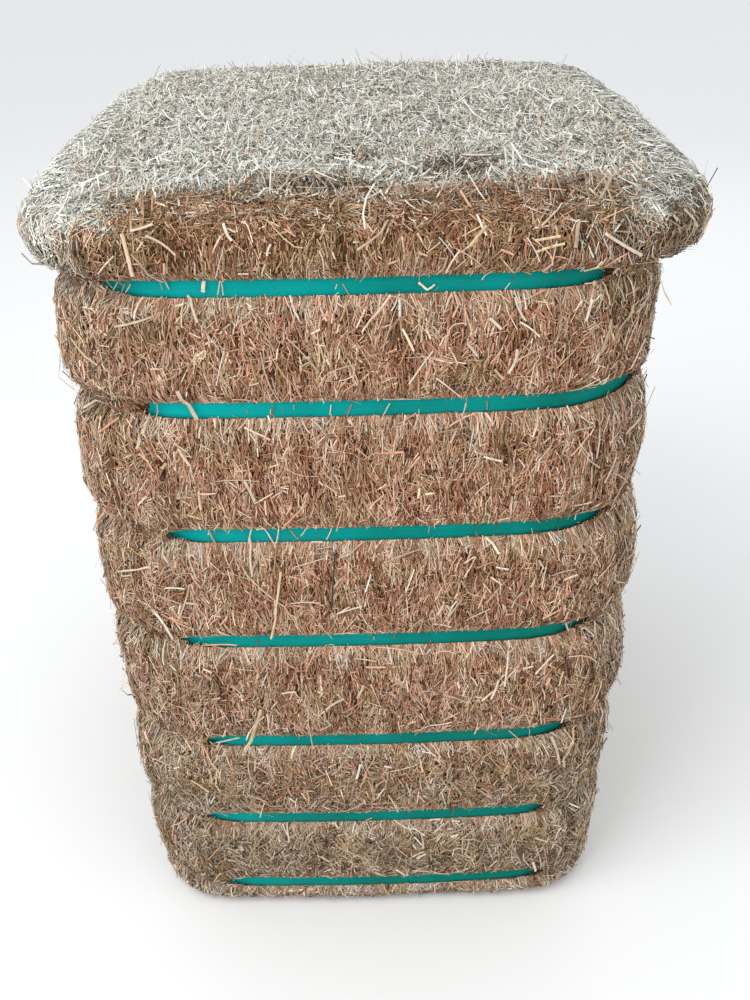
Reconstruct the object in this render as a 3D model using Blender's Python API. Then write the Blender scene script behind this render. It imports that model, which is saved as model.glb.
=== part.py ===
"""A square bale: one block of pressed straw, pulled in by seven flat straps.

Metres, +Z up. The front faces -Y, and the origin is on the floor below the middle of the bale.
"""

import math

import bmesh
import bpy
from mathutils import Vector, noise

# The block where the straps pull it in: half its width and half its depth.
HALF_WIDTH = 0.300
HALF_DEPTH = 0.400
HEIGHT = 1.010

# The straps, from the top one down: the height of each one's middle.
STRAP_HEIGHTS = (0.923, 0.790, 0.633, 0.481, 0.318, 0.176, 0.045)
STRAP_WIDTH = 0.019
STRAP_THICKNESS = 0.0012
STRAP_CLEARANCE = 0.0003
SEAT_MARGIN = 0.0015

# Outline of a seat: the strap bends round its corners and bows out a little on every side.
SEAT_RADIUS = 0.108
SEAT_BOW_SIDES = 0.022
SEAT_BOW_ENDS = 0.010

# How far the straw swells past the straps, from the top section down: left, right, front, back.
SWELLINGS = (
    (0.035, 0.049, 0.013, 0.012),
    (0.020, 0.011, 0.008, 0.012),
    (0.019, 0.008, 0.008, 0.013),
    (0.020, 0.022, 0.009, 0.012),
    (0.020, 0.017, 0.008, 0.014),
    (0.016, 0.012, 0.008, 0.012),
    (0.014, 0.010, 0.008, 0.011),
    (0.009, 0.008, 0.006, 0.006),
)
SWELL_RADIUS = 0.088
SWELL_BOW_SIDES = 0.026
SWELL_BOW_ENDS = 0.010
SWELL_POWER = 3.2
SWELL_STEPS = (0.07, 0.2, 0.4, 0.6, 0.8, 0.93)

# The rounded edges of the top and of the foot.
TOP_EDGE_RADIUS = 0.034
FRONT_EDGE_REACH = (0.036, 0.078)
FOOT_EDGE_RADIUS = 0.030
EDGE_ANGLES = (18, 36, 54, 72)
TOP_RINGS = (0.80, 0.58, 0.36, 0.16)
TOP_CROWN = 0.006

# Low lumps in the straw. They fade out at the straps and at the foot.
LUMP_SIZE = 0.011
LUMP_PITCH = 0.11
LUMP_SEED = Vector((3.1, 7.7, 1.9))

# Points along half the outline's parts. The two ends are shorter than the two sides.
END_STEPS = 6
SIDE_STEPS = 8
CORNER_STEPS = 5

# The strap's ends lie over each other on the back, between these two points of the outline.
LAP_STEP = 2

STRAW_COLOUR = (0.42, 0.29, 0.17, 1.0)
STRAP_COLOUR = (0.0, 0.30, 0.25, 1.0)


def remove_all_objects():
    """Empties the scene."""
    for item in list(bpy.data.objects):
        bpy.data.objects.remove(item)


def make_collection(name):
    """A new collection in the scene."""
    group = bpy.data.collections.new(name)
    bpy.context.scene.collection.children.link(group)
    return group


def make_material(name, colour, roughness):
    """A plain finish: colour and roughness on a Principled BSDF."""
    material = bpy.data.materials.new(name)
    material.use_nodes = True
    shader = material.node_tree.nodes["Principled BSDF"]
    shader.inputs["Base Color"].default_value = colour
    shader.inputs["Roughness"].default_value = roughness
    shader.inputs["Metallic"].default_value = 0.0
    material.diffuse_color = colour
    return material


def outline(extents, radius, bow_sides, bow_ends):
    """The block's outline from above, anticlockwise from the front left corner.

    extents is how far it reaches to the left, right, front and back.
    """
    left, right, front, back = extents
    middle_x, middle_y = (right - left) / 2, (back - front) / 2
    half_x, half_y = (left + right) / 2, (front + back) / 2
    flat_x, flat_y = half_x - radius, half_y - radius
    points = []
    for turn in range(4):
        along, across = (flat_x, flat_y) if turn % 2 == 0 else (flat_y, flat_x)
        steps = END_STEPS if turn % 2 == 0 else SIDE_STEPS
        part = []
        for step in range(steps):
            part.append((-along + 2 * along * step / steps, -across - radius))
        for step in range(CORNER_STEPS):
            angle = math.radians(-90 + 90 * step / CORNER_STEPS)
            part.append((along + radius * math.cos(angle), -across + radius * math.sin(angle)))
        quarter = math.radians(90 * turn)
        for x, y in part:
            points.append(Vector((
                x * math.cos(quarter) - y * math.sin(quarter),
                x * math.sin(quarter) + y * math.cos(quarter),
            )))
    for point in points:
        share_x, share_y = point.x / half_x, point.y / half_y
        point.x += share_x * bow_sides * (1 - share_y * share_y)
        point.y += share_y * bow_ends * (1 - share_x * share_x)
        point.x += middle_x
        point.y += middle_y
    return points


def moved_out(points, distance):
    """The outline moved outwards by a distance, each corner along its own mitre."""
    moved = []
    for index, point in enumerate(points):
        before = (point - points[index - 1]).normalized()
        after = (points[(index + 1) % len(points)] - point).normalized()
        normal_before = Vector((before.y, -before.x))
        normal_after = Vector((after.y, -after.x))
        mitre = (normal_before + normal_after).normalized()
        moved.append(point + mitre * distance / mitre.dot(normal_after))
    return moved


def seat_outline():
    """The outline of the straw under a strap."""
    extents = (HALF_WIDTH, HALF_WIDTH, HALF_DEPTH, HALF_DEPTH)
    return outline(extents, SEAT_RADIUS, SEAT_BOW_SIDES, SEAT_BOW_ENDS)


def swollen_outline(section):
    """The outline of a section where it stands out most."""
    left, right, front, back = SWELLINGS[section]
    extents = (HALF_WIDTH + left, HALF_WIDTH + right, HALF_DEPTH + front, HALF_DEPTH + back)
    return outline(extents, SWELL_RADIUS, SWELL_BOW_SIDES, SWELL_BOW_ENDS)


def lump(place):
    """How far the straw stands out at a place, from low smooth noise."""
    return LUMP_SIZE * noise.noise(place / LUMP_PITCH + LUMP_SEED)


def ring(section, share, height, scale=1.0, lift=0.0):
    """One ring of the block: its points, at a share of the way from the seat to the section's swelling."""
    seat, swollen = seat_outline(), swollen_outline(section)
    points = []
    for inner, outer in zip(seat, swollen):
        flat = inner.lerp(outer, share)
        place = Vector((flat.x, flat.y, height))
        outwards = (outer - inner).normalized() * lump(place) * share
        points.append(Vector((
            (flat.x + outwards.x) * scale,
            (flat.y + outwards.y) * scale,
            height + lift * lump(place * scale + Vector((0, 0, 1))),
        )))
    return points


def swell(share):
    """How full a section is at a share of its height: none at the straps, full between them."""
    return (1 - abs(2 * share - 1) ** SWELL_POWER) ** (1 / SWELL_POWER)


def foot_rings():
    """The rings from the floor up to the lowest strap's seat."""
    section = len(SWELLINGS) - 1
    seat_bottom = STRAP_HEIGHTS[-1] - STRAP_WIDTH / 2 - SEAT_MARGIN
    rings = []
    for angle in (0, *EDGE_ANGLES, 90):
        turn = math.radians(angle)
        inwards = FOOT_EDGE_RADIUS * (1 - math.sin(turn))
        height = FOOT_EDGE_RADIUS * (1 - math.cos(turn))
        share = 1.0 if angle < 90 else 0.5
        points = moved_out([Vector(p.xy) for p in ring(section, share, height)], -inwards)
        rings.append([Vector((p.x, p.y, height)) for p in points])
    rings.append(ring(section, 0.0, seat_bottom))
    return rings


def section_rings(section, low, high):
    """The rings of a section between two straps, with the seats' edges."""
    rings = [ring(section, 0.0, low)]
    for share in SWELL_STEPS:
        rings.append(ring(section, swell(share), low + (high - low) * share))
    rings.append(ring(section, 0.0, high))
    return rings


def front_slope(point, turn):
    """How far the rounded edge is drawn back at the front, from little on the left to more on the right."""
    front = min(max((-point.y - 0.5 * HALF_DEPTH) / (0.5 * HALF_DEPTH), 0.0), 1.0)
    across = min(max(0.5 + point.x / (2 * HALF_WIDTH), 0.0), 1.0)
    low, high = FRONT_EDGE_REACH
    return (low + (high - low) * across) * front * front * (1 - math.cos(turn))


def top_rings():
    """The rings above the highest strap: the swelling, the rounded edge and the crowned top."""
    low = STRAP_HEIGHTS[0] + STRAP_WIDTH / 2 + SEAT_MARGIN
    edge = HEIGHT - TOP_CROWN - TOP_EDGE_RADIUS
    rings = [ring(0, 0.0, low)]
    for share in (0.12, 0.45):
        rings.append(ring(0, swell(share), low + (edge - low) * 2 * share))
    for angle in EDGE_ANGLES:
        turn = math.radians(angle)
        inwards = TOP_EDGE_RADIUS * (1 - math.cos(turn))
        height = edge + TOP_EDGE_RADIUS * math.sin(turn)
        points = moved_out([Vector(p.xy) for p in ring(0, 1.0, height)], -inwards)
        rings.append([Vector((p.x, p.y + front_slope(p, turn), height)) for p in points])
    for scale in TOP_RINGS:
        rings.append(ring(0, 1.0, HEIGHT - TOP_CROWN * scale, scale=scale, lift=1.0))
    return rings


def block_rings():
    """Every ring of the block, from the floor up."""
    rings = foot_rings()
    half_seat = STRAP_WIDTH / 2 + SEAT_MARGIN
    for section in range(len(STRAP_HEIGHTS) - 1, 0, -1):
        low = STRAP_HEIGHTS[section] + half_seat
        high = STRAP_HEIGHTS[section - 1] - half_seat
        rings += section_rings(section, low, high)
    return rings + top_rings()


def middle(rings):
    """The middle of the block's box, seen from above."""
    across = [point.x for points in rings for point in points]
    along = [point.y for points in rings for point in points]
    return Vector(((min(across) + max(across)) / 2, (min(along) + max(along)) / 2, 0.0))


def make_block(rings, shift, group, material):
    """The pressed straw: a flat foot, extruded from ring to ring up to the top."""
    shape = bmesh.new()
    bmesh.ops.create_circle(shape, segments=len(rings[0]), radius=1.0, cap_ends=True)
    number = shape.verts.layers.int.new("number")
    shape.verts.ensure_lookup_table()
    for index, vert in enumerate(shape.verts):
        vert[number] = index
    cap = next(iter(shape.faces))
    for level, points in enumerate(rings):
        if level:
            below = cap
            made = bmesh.ops.extrude_face_region(shape, geom=[below])
            cap = next(item for item in made["geom"] if isinstance(item, bmesh.types.BMFace))
            if level > 1:
                bmesh.ops.delete(shape, geom=[below], context="FACES_ONLY")
        for vert in cap.verts:
            vert.co = points[vert[number]] + shift
    bmesh.ops.recalc_face_normals(shape, faces=shape.faces)
    bmesh.ops.triangulate(shape, faces=[face for face in shape.faces if len(face.verts) > 4])
    mesh = bpy.data.meshes.new("straw_block")
    shape.to_mesh(mesh)
    shape.free()
    mesh.shade_smooth()
    block = bpy.data.objects.new("straw_block", mesh)
    block.data.materials.append(material)
    group.objects.link(block)
    return block


def add_loop(curve, points):
    """Adds a closed run of straight pieces to a flat curve."""
    line = curve.splines.new("POLY")
    line.points.add(len(points) - 1)
    for place, point in zip(line.points, points):
        place.co = (point.x, point.y, 0.0, 1.0)
    line.use_cyclic_u = True


def strap_outside(seat):
    """The strap's outer face from above, with the step of its lapped and welded ends."""
    single = moved_out(seat, STRAP_CLEARANCE + STRAP_THICKNESS)
    double = moved_out(seat, STRAP_CLEARANCE + 2 * STRAP_THICKNESS)
    lap_start = END_STEPS + CORNER_STEPS + SIDE_STEPS + CORNER_STEPS + LAP_STEP
    lap_end = lap_start + 1
    return single[:lap_start + 1] + double[lap_start:lap_end + 1] + single[lap_end:]


def make_strap(name, place, group, material):
    """One strap: a flat band standing on edge round the block."""
    curve = bpy.data.curves.new(name, "CURVE")
    curve.dimensions = "2D"
    curve.fill_mode = "BOTH"
    curve.extrude = STRAP_WIDTH / 2
    seat = seat_outline()
    add_loop(curve, strap_outside(seat))
    add_loop(curve, moved_out(seat, STRAP_CLEARANCE))
    strap = bpy.data.objects.new(name, curve)
    strap.location = place
    strap.data.materials.append(material)
    group.objects.link(strap)
    return strap


def main():
    """Makes the block and its straps."""
    remove_all_objects()
    group = make_collection("square_straw_bale")
    straw = make_material("pressed straw", STRAW_COLOUR, 0.85)
    plastic = make_material("green strap", STRAP_COLOUR, 0.35)
    rings = block_rings()
    shift = -middle(rings)
    make_block(rings, shift, group, straw)
    for number, height in enumerate(STRAP_HEIGHTS, start=1):
        make_strap(f"strap_{number}", shift + Vector((0.0, 0.0, height)), group, plastic)


main()
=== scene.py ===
"""The looks of a square straw bale: a pressed core, a mantle of laid straws and seven flat straps.

Every length is in metres. The front faces -Y, and the bale stands on the floor at z = 0.
"""

from __future__ import annotations

import logging
import math
from dataclasses import dataclass, field
from enum import Enum

import bmesh
import bpy
import numpy as np
from mathutils import Euler, Matrix, Vector, noise
from mathutils.bvhtree import BVHTree

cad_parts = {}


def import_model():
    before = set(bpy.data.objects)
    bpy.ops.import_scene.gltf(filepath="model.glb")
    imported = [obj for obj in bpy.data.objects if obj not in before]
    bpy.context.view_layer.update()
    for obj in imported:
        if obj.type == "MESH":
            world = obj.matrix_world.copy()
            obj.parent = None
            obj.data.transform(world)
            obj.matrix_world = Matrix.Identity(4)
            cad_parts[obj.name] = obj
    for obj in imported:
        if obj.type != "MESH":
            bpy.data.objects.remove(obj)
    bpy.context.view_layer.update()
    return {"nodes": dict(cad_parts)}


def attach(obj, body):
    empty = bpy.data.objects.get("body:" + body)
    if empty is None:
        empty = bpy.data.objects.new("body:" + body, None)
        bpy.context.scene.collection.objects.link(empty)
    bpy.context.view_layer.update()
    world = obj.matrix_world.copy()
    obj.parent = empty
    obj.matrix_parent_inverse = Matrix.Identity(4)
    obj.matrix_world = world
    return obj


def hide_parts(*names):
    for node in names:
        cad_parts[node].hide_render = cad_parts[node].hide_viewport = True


LOG = logging.getLogger("straw_bale")
BODY = "root"
UV_NAME = "OFBake"
TOP_MASK = "top_share"
FRONT_SPLIT = 0.56
TINY = 1e-9

Array = np.ndarray
Draw = np.random.Generator
Socket = bpy.types.NodeSocket
Colour = tuple[float, float, float]
Stops = tuple[tuple[float, tuple[float, ...]], ...]


class StrawKind(Enum):
    """The families of straw colour, each with its own stripes of the palette."""

    WARM = 0
    GREY = 1
    # Pale, bleached straw. Where it makes the top, the rim and the left corner pale, it is partly painted
    # light.
    BLEACHED = 2
    ODD = 3
    GOLD = 4


class Side(Enum):
    """The upright sides of the bale, with the way that each one faces."""

    FRONT = (0.0, -1.0)
    RIGHT = (1.0, 0.0)
    BACK = (0.0, 1.0)
    LEFT = (-1.0, 0.0)


def srgb(red: float, green: float, blue: float) -> tuple[float, float, float, float]:
    """A picture colour, 0 to 255, as the linear colour that the shaders take.

    Args:
        red: the red channel.
        green: the green channel.
        blue: the blue channel.

    Returns:
        The linear channels and a full alpha.
    """
    shares = (red / 255, green / 255, blue / 255)
    return (*(s / 12.92 if s <= 0.04045 else ((s + 0.055) / 1.055) ** 2.4 for s in shares), 1.0)


def ease(low: float, high: float, value: Array) -> Array:
    """0 below low, 1 above high and a smooth step between them; it falls where high is below low."""
    share = np.clip((value - low) / (high - low), 0.0, 1.0)
    return share * share * (3 - 2 * share)


def unit(vectors: Array) -> Array:
    """Vectors along the last axis, made one long."""
    return vectors / np.maximum(np.linalg.norm(vectors, axis=-1), TINY)[..., None]


def sizes(draw: Draw, count: int, middle: float, spread: float, low: float, high: float) -> Array:
    """Random sizes about a middle one, held between two limits."""
    return np.clip(draw.lognormal(math.log(middle), spread, count), low, high)


def tip_lifts(draw: Draw, count: int, spread: float, share: float, high: float) -> Array:
    """How far tips rise for each metre of straw: most of them a little, and a share of them up to high."""
    usual = np.abs(draw.normal(0, spread, count))
    return usual + np.where(draw.random(count) < share, draw.uniform(0.1, high, count), 0)


def regroup(draw: Draw, kinds: Array, chance: float | Array, kind: StrawKind) -> Array:
    """Gives straws another family of colour at random.

    Args:
        draw: the random numbers, of which each straw takes one.
        kinds: the families so far.
        chance: each straw's chance.
        kind: the family that the chosen ones get.

    Returns:
        The families after that.
    """
    return np.where(draw.random(len(kinds)) < chance, kind.value, kinds)


@dataclass(frozen=True)
class Step:
    """A smooth step over one measure of the bale: 0 at its start and 1 at its end."""

    start: float
    end: float

    def __call__(self, value: Array) -> Array:
        """The step's height at each value."""
        return ease(self.start, self.end, value)


class Wiring:
    """A short way to place and link the nodes of a tree."""

    def __init__(self, tree: bpy.types.NodeTree) -> None:
        """Keeps the tree that nodes are added to."""
        self.tree = tree

    def node(self, kind: str, **settings: object) -> bpy.types.Node:
        """Adds a node.

        Args:
            kind: the node's type.
            settings: its properties.

        Returns:
            The new node.
        """
        made = self.tree.nodes.new(kind)
        for name, value in settings.items():
            setattr(made, name, value)
        return made

    def put(self, socket: Socket, value: object) -> None:
        """Links another node's output to an input, or sets the input to a plain value.

        Args:
            socket: the input.
            value: the output or the plain value.
        """
        if isinstance(value, bpy.types.NodeSocket):
            self.tree.links.new(value, socket)
        else:
            socket.default_value = value

    def fill(self, made: bpy.types.Node, *values: object) -> Socket:
        """Sets a node's first inputs in order.

        Args:
            made: the node.
            values: outputs or plain values, one for each input.

        Returns:
            The node's first output.
        """
        for socket, value in zip(made.inputs, values):
            self.put(socket, value)
        return made.outputs[0]

    def math(self, operation: str, *values: object) -> Socket:
        """Adds a Math node and returns its output."""
        return self.fill(self.node("ShaderNodeMath", operation=operation), *values)

    def times(self, first: object, second: object) -> Socket:
        """Multiplies two values."""
        return self.math("MULTIPLY", first, second)

    def plus(self, first: object, second: object) -> Socket:
        """Adds two values."""
        return self.math("ADD", first, second)

    def minus(self, first: object, second: object) -> Socket:
        """Takes the second value from the first."""
        return self.math("SUBTRACT", first, second)

    def span(
        self, value: object, low: float, high: float, to_low: float = 0.0, to_high: float = 1.0,
    ) -> Socket:
        """Maps a value from one range to another, held at the ends."""
        return self.fill(self.node("ShaderNodeMapRange"), value, low, high, to_low, to_high)

    def point(self, x: object, y: object, z: object) -> Socket:
        """Joins three values into a vector."""
        return self.fill(self.node("ShaderNodeCombineXYZ"), x, y, z)

    def parts(self, vector: object) -> tuple[Socket, ...]:
        """Splits a vector into three values.

        Args:
            vector: the vector.

        Returns:
            The outputs for its x, y and z.
        """
        made = self.node("ShaderNodeSeparateXYZ")
        self.put(made.inputs[0], vector)
        return tuple(made.outputs)

    def stretch(self, vector: object, scale: Colour) -> Socket:
        """Scales a vector axis by axis."""
        return self.fill(self.node("ShaderNodeVectorMath", operation="MULTIPLY"), vector, scale)

    def cloud(self, vector: object, scale: float, detail: float = 2.0, rough: float = 0.5) -> Socket:
        """Adds a Noise texture.

        Args:
            vector: where it is read.
            scale: how fine it is.
            detail: its octaves.
            rough: how strong the finer octaves are.

        Returns:
            Its value.
        """
        made = self.node("ShaderNodeTexNoise")
        for name, value in (("Vector", vector), ("Scale", scale), ("Detail", detail), ("Roughness", rough)):
            self.put(made.inputs[name], value)
        return made.outputs["Fac"]

    def ramp(self, share: object, stops: Stops) -> Socket:
        """Adds a colour ramp.

        Args:
            share: where on the ramp to read.
            stops: place and colour of each stop, in order.

        Returns:
            The colour output.
        """
        made = self.node("ShaderNodeValToRGB")
        elements = made.color_ramp.elements
        while len(elements) < len(stops):
            elements.new(1.0)
        for element, (place, colour) in zip(elements, stops):
            element.position = place
            element.color = colour
        self.put(made.inputs[0], share)
        return made.outputs[0]

    def blend(self, share: object, first: object, second: object, kind: str = "MIX") -> Socket:
        """Adds a colour Mix node.

        Args:
            share: how much of the second colour shows.
            first: the first colour.
            second: the second colour.
            kind: the way they are mixed.

        Returns:
            The mixed colour.
        """
        made = self.node("ShaderNodeMix", data_type="RGBA", blend_type=kind)
        for index, value in ((0, share), (6, first), (7, second)):
            self.put(made.inputs[index], value)
        return made.outputs[2]

    def bump(self, height: object, distance: float, strength: float) -> Socket:
        """Adds a Bump node.

        Args:
            height: the height over the surface.
            distance: how many metres a height of 1 is.
            strength: how much of it counts.

        Returns:
            The normal.
        """
        made = self.node("ShaderNodeBump")
        for name, value in (("Strength", strength), ("Distance", distance), ("Height", height)):
            self.put(made.inputs[name], value)
        return made.outputs["Normal"]


def new_material(name: str) -> tuple[bpy.types.Material, Wiring, bpy.types.Node]:
    """A material with one Principled shader.

    Args:
        name: the material's name.

    Returns:
        The material, the wiring of its tree and its shader.
    """
    material = bpy.data.materials.new(name)
    material.use_nodes = True
    return material, Wiring(material.node_tree), material.node_tree.nodes["Principled BSDF"]


def bmesh_to_mesh(shape: bmesh.types.BMesh, name: str) -> bpy.types.Mesh:
    """Turns a finished bmesh into a mesh, and frees it.

    Args:
        shape: the bmesh.
        name: the mesh's name.

    Returns:
        The mesh.
    """
    mesh = bpy.data.meshes.new(name)
    shape.to_mesh(mesh)
    shape.free()
    return mesh


def new_piece(mesh: bpy.types.Mesh, material: bpy.types.Material) -> bpy.types.Object:
    """Makes a finished mesh a piece that rides on the bale.

    Args:
        mesh: the mesh, whose name the piece takes.
        material: its only material.

    Returns:
        The piece, which still needs its slot.
    """
    mesh.shade_smooth()
    mesh.materials.clear()
    mesh.materials.append(material)
    piece = bpy.data.objects.new(mesh.name, mesh)
    bpy.context.scene.collection.objects.link(piece)
    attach(piece, BODY)
    return piece


class StreakGroup:
    """A shared node group: fine streaks along a straw, with stains that cross it."""

    NAME = "straw_streaks"
    STREAK_ACROSS = 6.0
    STREAK_STEP = 3.7
    STAIN_ALONG = 2.2
    STAIN_STEP = 9.1

    def tree(self) -> bpy.types.NodeTree:
        """The group's tree, made the first time it is asked for.

        Returns:
            The tree, with the inputs Across, Along and Which and the outputs Streak and Stain.
        """
        known = bpy.data.node_groups.get(self.NAME)
        if known:
            return known
        tree = bpy.data.node_groups.new(self.NAME, "ShaderNodeTree")
        for way, names in (("INPUT", ("Across", "Along", "Which")), ("OUTPUT", ("Streak", "Stain"))):
            for name in names:
                tree.interface.new_socket(name, in_out=way, socket_type="NodeSocketFloat")
        wiring = Wiring(tree)
        across, along, which = wiring.node("NodeGroupInput").outputs[:3]
        result = wiring.node("NodeGroupOutput")
        fine = wiring.point(
            wiring.times(across, self.STREAK_ACROSS), along, wiring.times(which, self.STREAK_STEP)
        )
        coarse = wiring.point(
            across, wiring.times(along, self.STAIN_ALONG), wiring.times(which, self.STAIN_STEP)
        )
        wiring.put(result.inputs[0], wiring.cloud(fine, 1.0, 3.0, 0.6))
        wiring.put(result.inputs[1], wiring.cloud(coarse, 1.0, 2.0, 0.5))
        return tree

    def place(self, wiring: Wiring, across: object, along: object, which: object) -> tuple[Socket, Socket]:
        """Places the group in a material.

        Args:
            wiring: the material's wiring.
            across: the place across the straw.
            along: the place along it.
            which: a number that differs from straw to straw.

        Returns:
            The streak and the stain.
        """
        made = wiring.node("ShaderNodeGroup", node_tree=self.tree())
        wiring.fill(made, across, along, which)
        return made.outputs[0], made.outputs[1]


@dataclass(frozen=True)
class StrawFinish:
    """Dry straw whose colour is read from a palette laid over its own UV map.

    The map's width holds one stripe for each tone of each family, and its height runs along the straw.
    """

    tones: int = 12
    warm: tuple[Colour, ...] = ((84, 40, 16), (165, 107, 75), (216, 160, 125), (255, 222, 192))
    grey: tuple[Colour, ...] = ((80, 60, 38), (151, 126, 99), (197, 173, 146), (242, 227, 206))
    bleached: tuple[Colour, ...] = ((128, 124, 108), (189, 187, 171), (225, 223, 211), (248, 247, 237))
    odd: tuple[Colour, ...] = ((48, 34, 32), (96, 76, 74), (166, 144, 92), (196, 178, 124))
    gold: tuple[Colour, ...] = ((90, 60, 28), (161, 124, 83), (205, 170, 126), (244, 220, 182))
    # The darkness of the painted shade at a straw's edges, which rounds it.
    edge_shade: float = 0.70
    roughness: float = 0.62
    gloss: float = 0.38
    streak_rate: float = 6.0
    streak_height: float = 0.35
    ridge_height: float = 0.0007

    @property
    def stripes(self) -> int:
        """How many stripes the palette has."""
        return self.tones * len(StrawKind)

    def stops(self, colours: tuple[Colour, ...]) -> Stops:
        """The ramp of one family, its colours evenly spread."""
        last = len(colours) - 1
        return tuple((index / last, srgb(*colour)) for index, colour in enumerate(colours))

    def colour(self, wiring: Wiring, stripe: Socket) -> Socket:
        """The plain colour of a stripe of the palette.

        Args:
            wiring: the material's wiring.
            stripe: the stripe's number.

        Returns:
            The colour.
        """
        family = wiring.math("FLOOR", wiring.math("DIVIDE", wiring.plus(stripe, 0.5), float(self.tones)))
        tone = wiring.minus(stripe, wiring.times(family, float(self.tones)))
        tone = wiring.math("DIVIDE", tone, self.tones - 1.0)
        colour = wiring.ramp(tone, self.stops(self.warm))
        others = (
            (StrawKind.GREY, self.grey), (StrawKind.BLEACHED, self.bleached),
            (StrawKind.ODD, self.odd), (StrawKind.GOLD, self.gold),
        )
        for kind, colours in others:
            chosen = wiring.math("COMPARE", family, float(kind.value), 0.25)
            colour = wiring.blend(chosen, colour, wiring.ramp(tone, self.stops(colours)))
        return colour

    def build(self) -> bpy.types.Material:
        """Makes the material: the palette, with painted shade towards a straw's edges to round it, and
        darker in its streaks and stains.

        Returns:
            The material.
        """
        material, wiring, shader = new_material("dry_straw")
        u, v, _ = wiring.parts(wiring.node("ShaderNodeUVMap", uv_map=UV_NAME).outputs[0])
        place = wiring.times(u, float(self.stripes))
        stripe = wiring.math("FLOOR", place)
        across = wiring.math("FRACT", place)
        streak, stain = StreakGroup().place(wiring, across, wiring.times(v, self.streak_rate), stripe)
        off_middle = wiring.math("ABSOLUTE", wiring.minus(wiring.times(across, 2.0), 1.0))
        crown = wiring.minus(1.0, wiring.math("POWER", off_middle, 2.0))
        # Painted shade: darker towards a straw's edges, to round it. The streaks and stains are its own
        # colour.
        edge = wiring.span(crown, 0.0, 0.8, self.edge_shade, 1.0)
        shade = wiring.times(edge, wiring.span(streak, 0.3, 0.7, 0.80, 1.16))
        shade = wiring.times(shade, wiring.span(stain, 0.35, 0.62, 0.80, 1.08))
        grey_shade = wiring.point(shade, shade, shade)
        colour = wiring.blend(1.0, self.colour(wiring, stripe), grey_shade, "MULTIPLY")
        rough = wiring.span(streak, 0.3, 0.7, self.roughness - 0.08, self.roughness + 0.14)
        height = wiring.plus(crown, wiring.times(streak, self.streak_height))
        wiring.put(shader.inputs["Base Color"], colour)
        wiring.put(shader.inputs["Roughness"], rough)
        wiring.put(shader.inputs["Specular IOR Level"], self.gloss)
        wiring.put(shader.inputs["Normal"], wiring.bump(height, self.ridge_height, 0.7))
        return material


@dataclass(frozen=True)
class CoreFinish:
    """The pressed straw behind the laid straws: tight streaks, upright on the sides, in browns darker than
    the straws, which are painted shade for the gaps between them.
    """

    # The browns are painted shade for the gaps between the straws. The top's greys are partly painted light
    # from above.
    dark: Colour = (46, 24, 10)
    middle: Colour = (106, 70, 42)
    light: Colour = (158, 124, 92)
    top_dark: Colour = (86, 80, 70)
    top_light: Colour = (184, 180, 164)
    upright_grain: Colour = (820.0, 820.0, 70.0)
    lying_grain: Colour = (120.0, 300.0, 300.0)
    gloss: float = 0.2
    relief: float = 0.004

    def build(self) -> bpy.types.Material:
        """Makes the material, which turns to the top's paler colours, partly painted light from above, by
        the core's own mask.

        Returns:
            The material.
        """
        material, wiring, shader = new_material("pressed_core")
        place = wiring.node("ShaderNodeTexCoord").outputs["Object"]
        x, y, z = wiring.parts(place)
        mask = wiring.node("ShaderNodeAttribute", attribute_name=TOP_MASK).outputs["Fac"]
        upright = wiring.cloud(wiring.stretch(place, self.upright_grain), 1.0, 4.0, 0.62)
        lying = wiring.cloud(wiring.stretch(place, self.lying_grain), 1.0, 4.0, 0.62)
        round_way = wiring.times(wiring.plus(x, y), 90.0)
        streak, stain = StreakGroup().place(wiring, round_way, wiring.times(z, 40.0), 1.0)
        value = wiring.node("ShaderNodeMix", data_type="FLOAT")
        wiring.put(value.inputs[0], mask)
        wiring.put(value.inputs[2], wiring.plus(wiring.times(upright, 0.7), wiring.times(streak, 0.3)))
        wiring.put(value.inputs[3], lying)
        share = value.outputs[0]
        brown = ((0.36, srgb(*self.dark)), (0.52, srgb(*self.middle)), (0.68, srgb(*self.light)))
        pale = ((0.36, srgb(*self.top_dark)), (0.66, srgb(*self.top_light)))
        colour = wiring.blend(mask, wiring.ramp(share, brown), wiring.ramp(share, pale))
        wiring.put(shader.inputs["Base Color"], colour)
        wiring.put(shader.inputs["Roughness"], wiring.span(stain, 0.3, 0.7, 0.78, 0.94))
        wiring.put(shader.inputs["Specular IOR Level"], self.gloss)
        wiring.put(shader.inputs["Normal"], wiring.bump(share, self.relief, 0.8))
        return material


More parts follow.
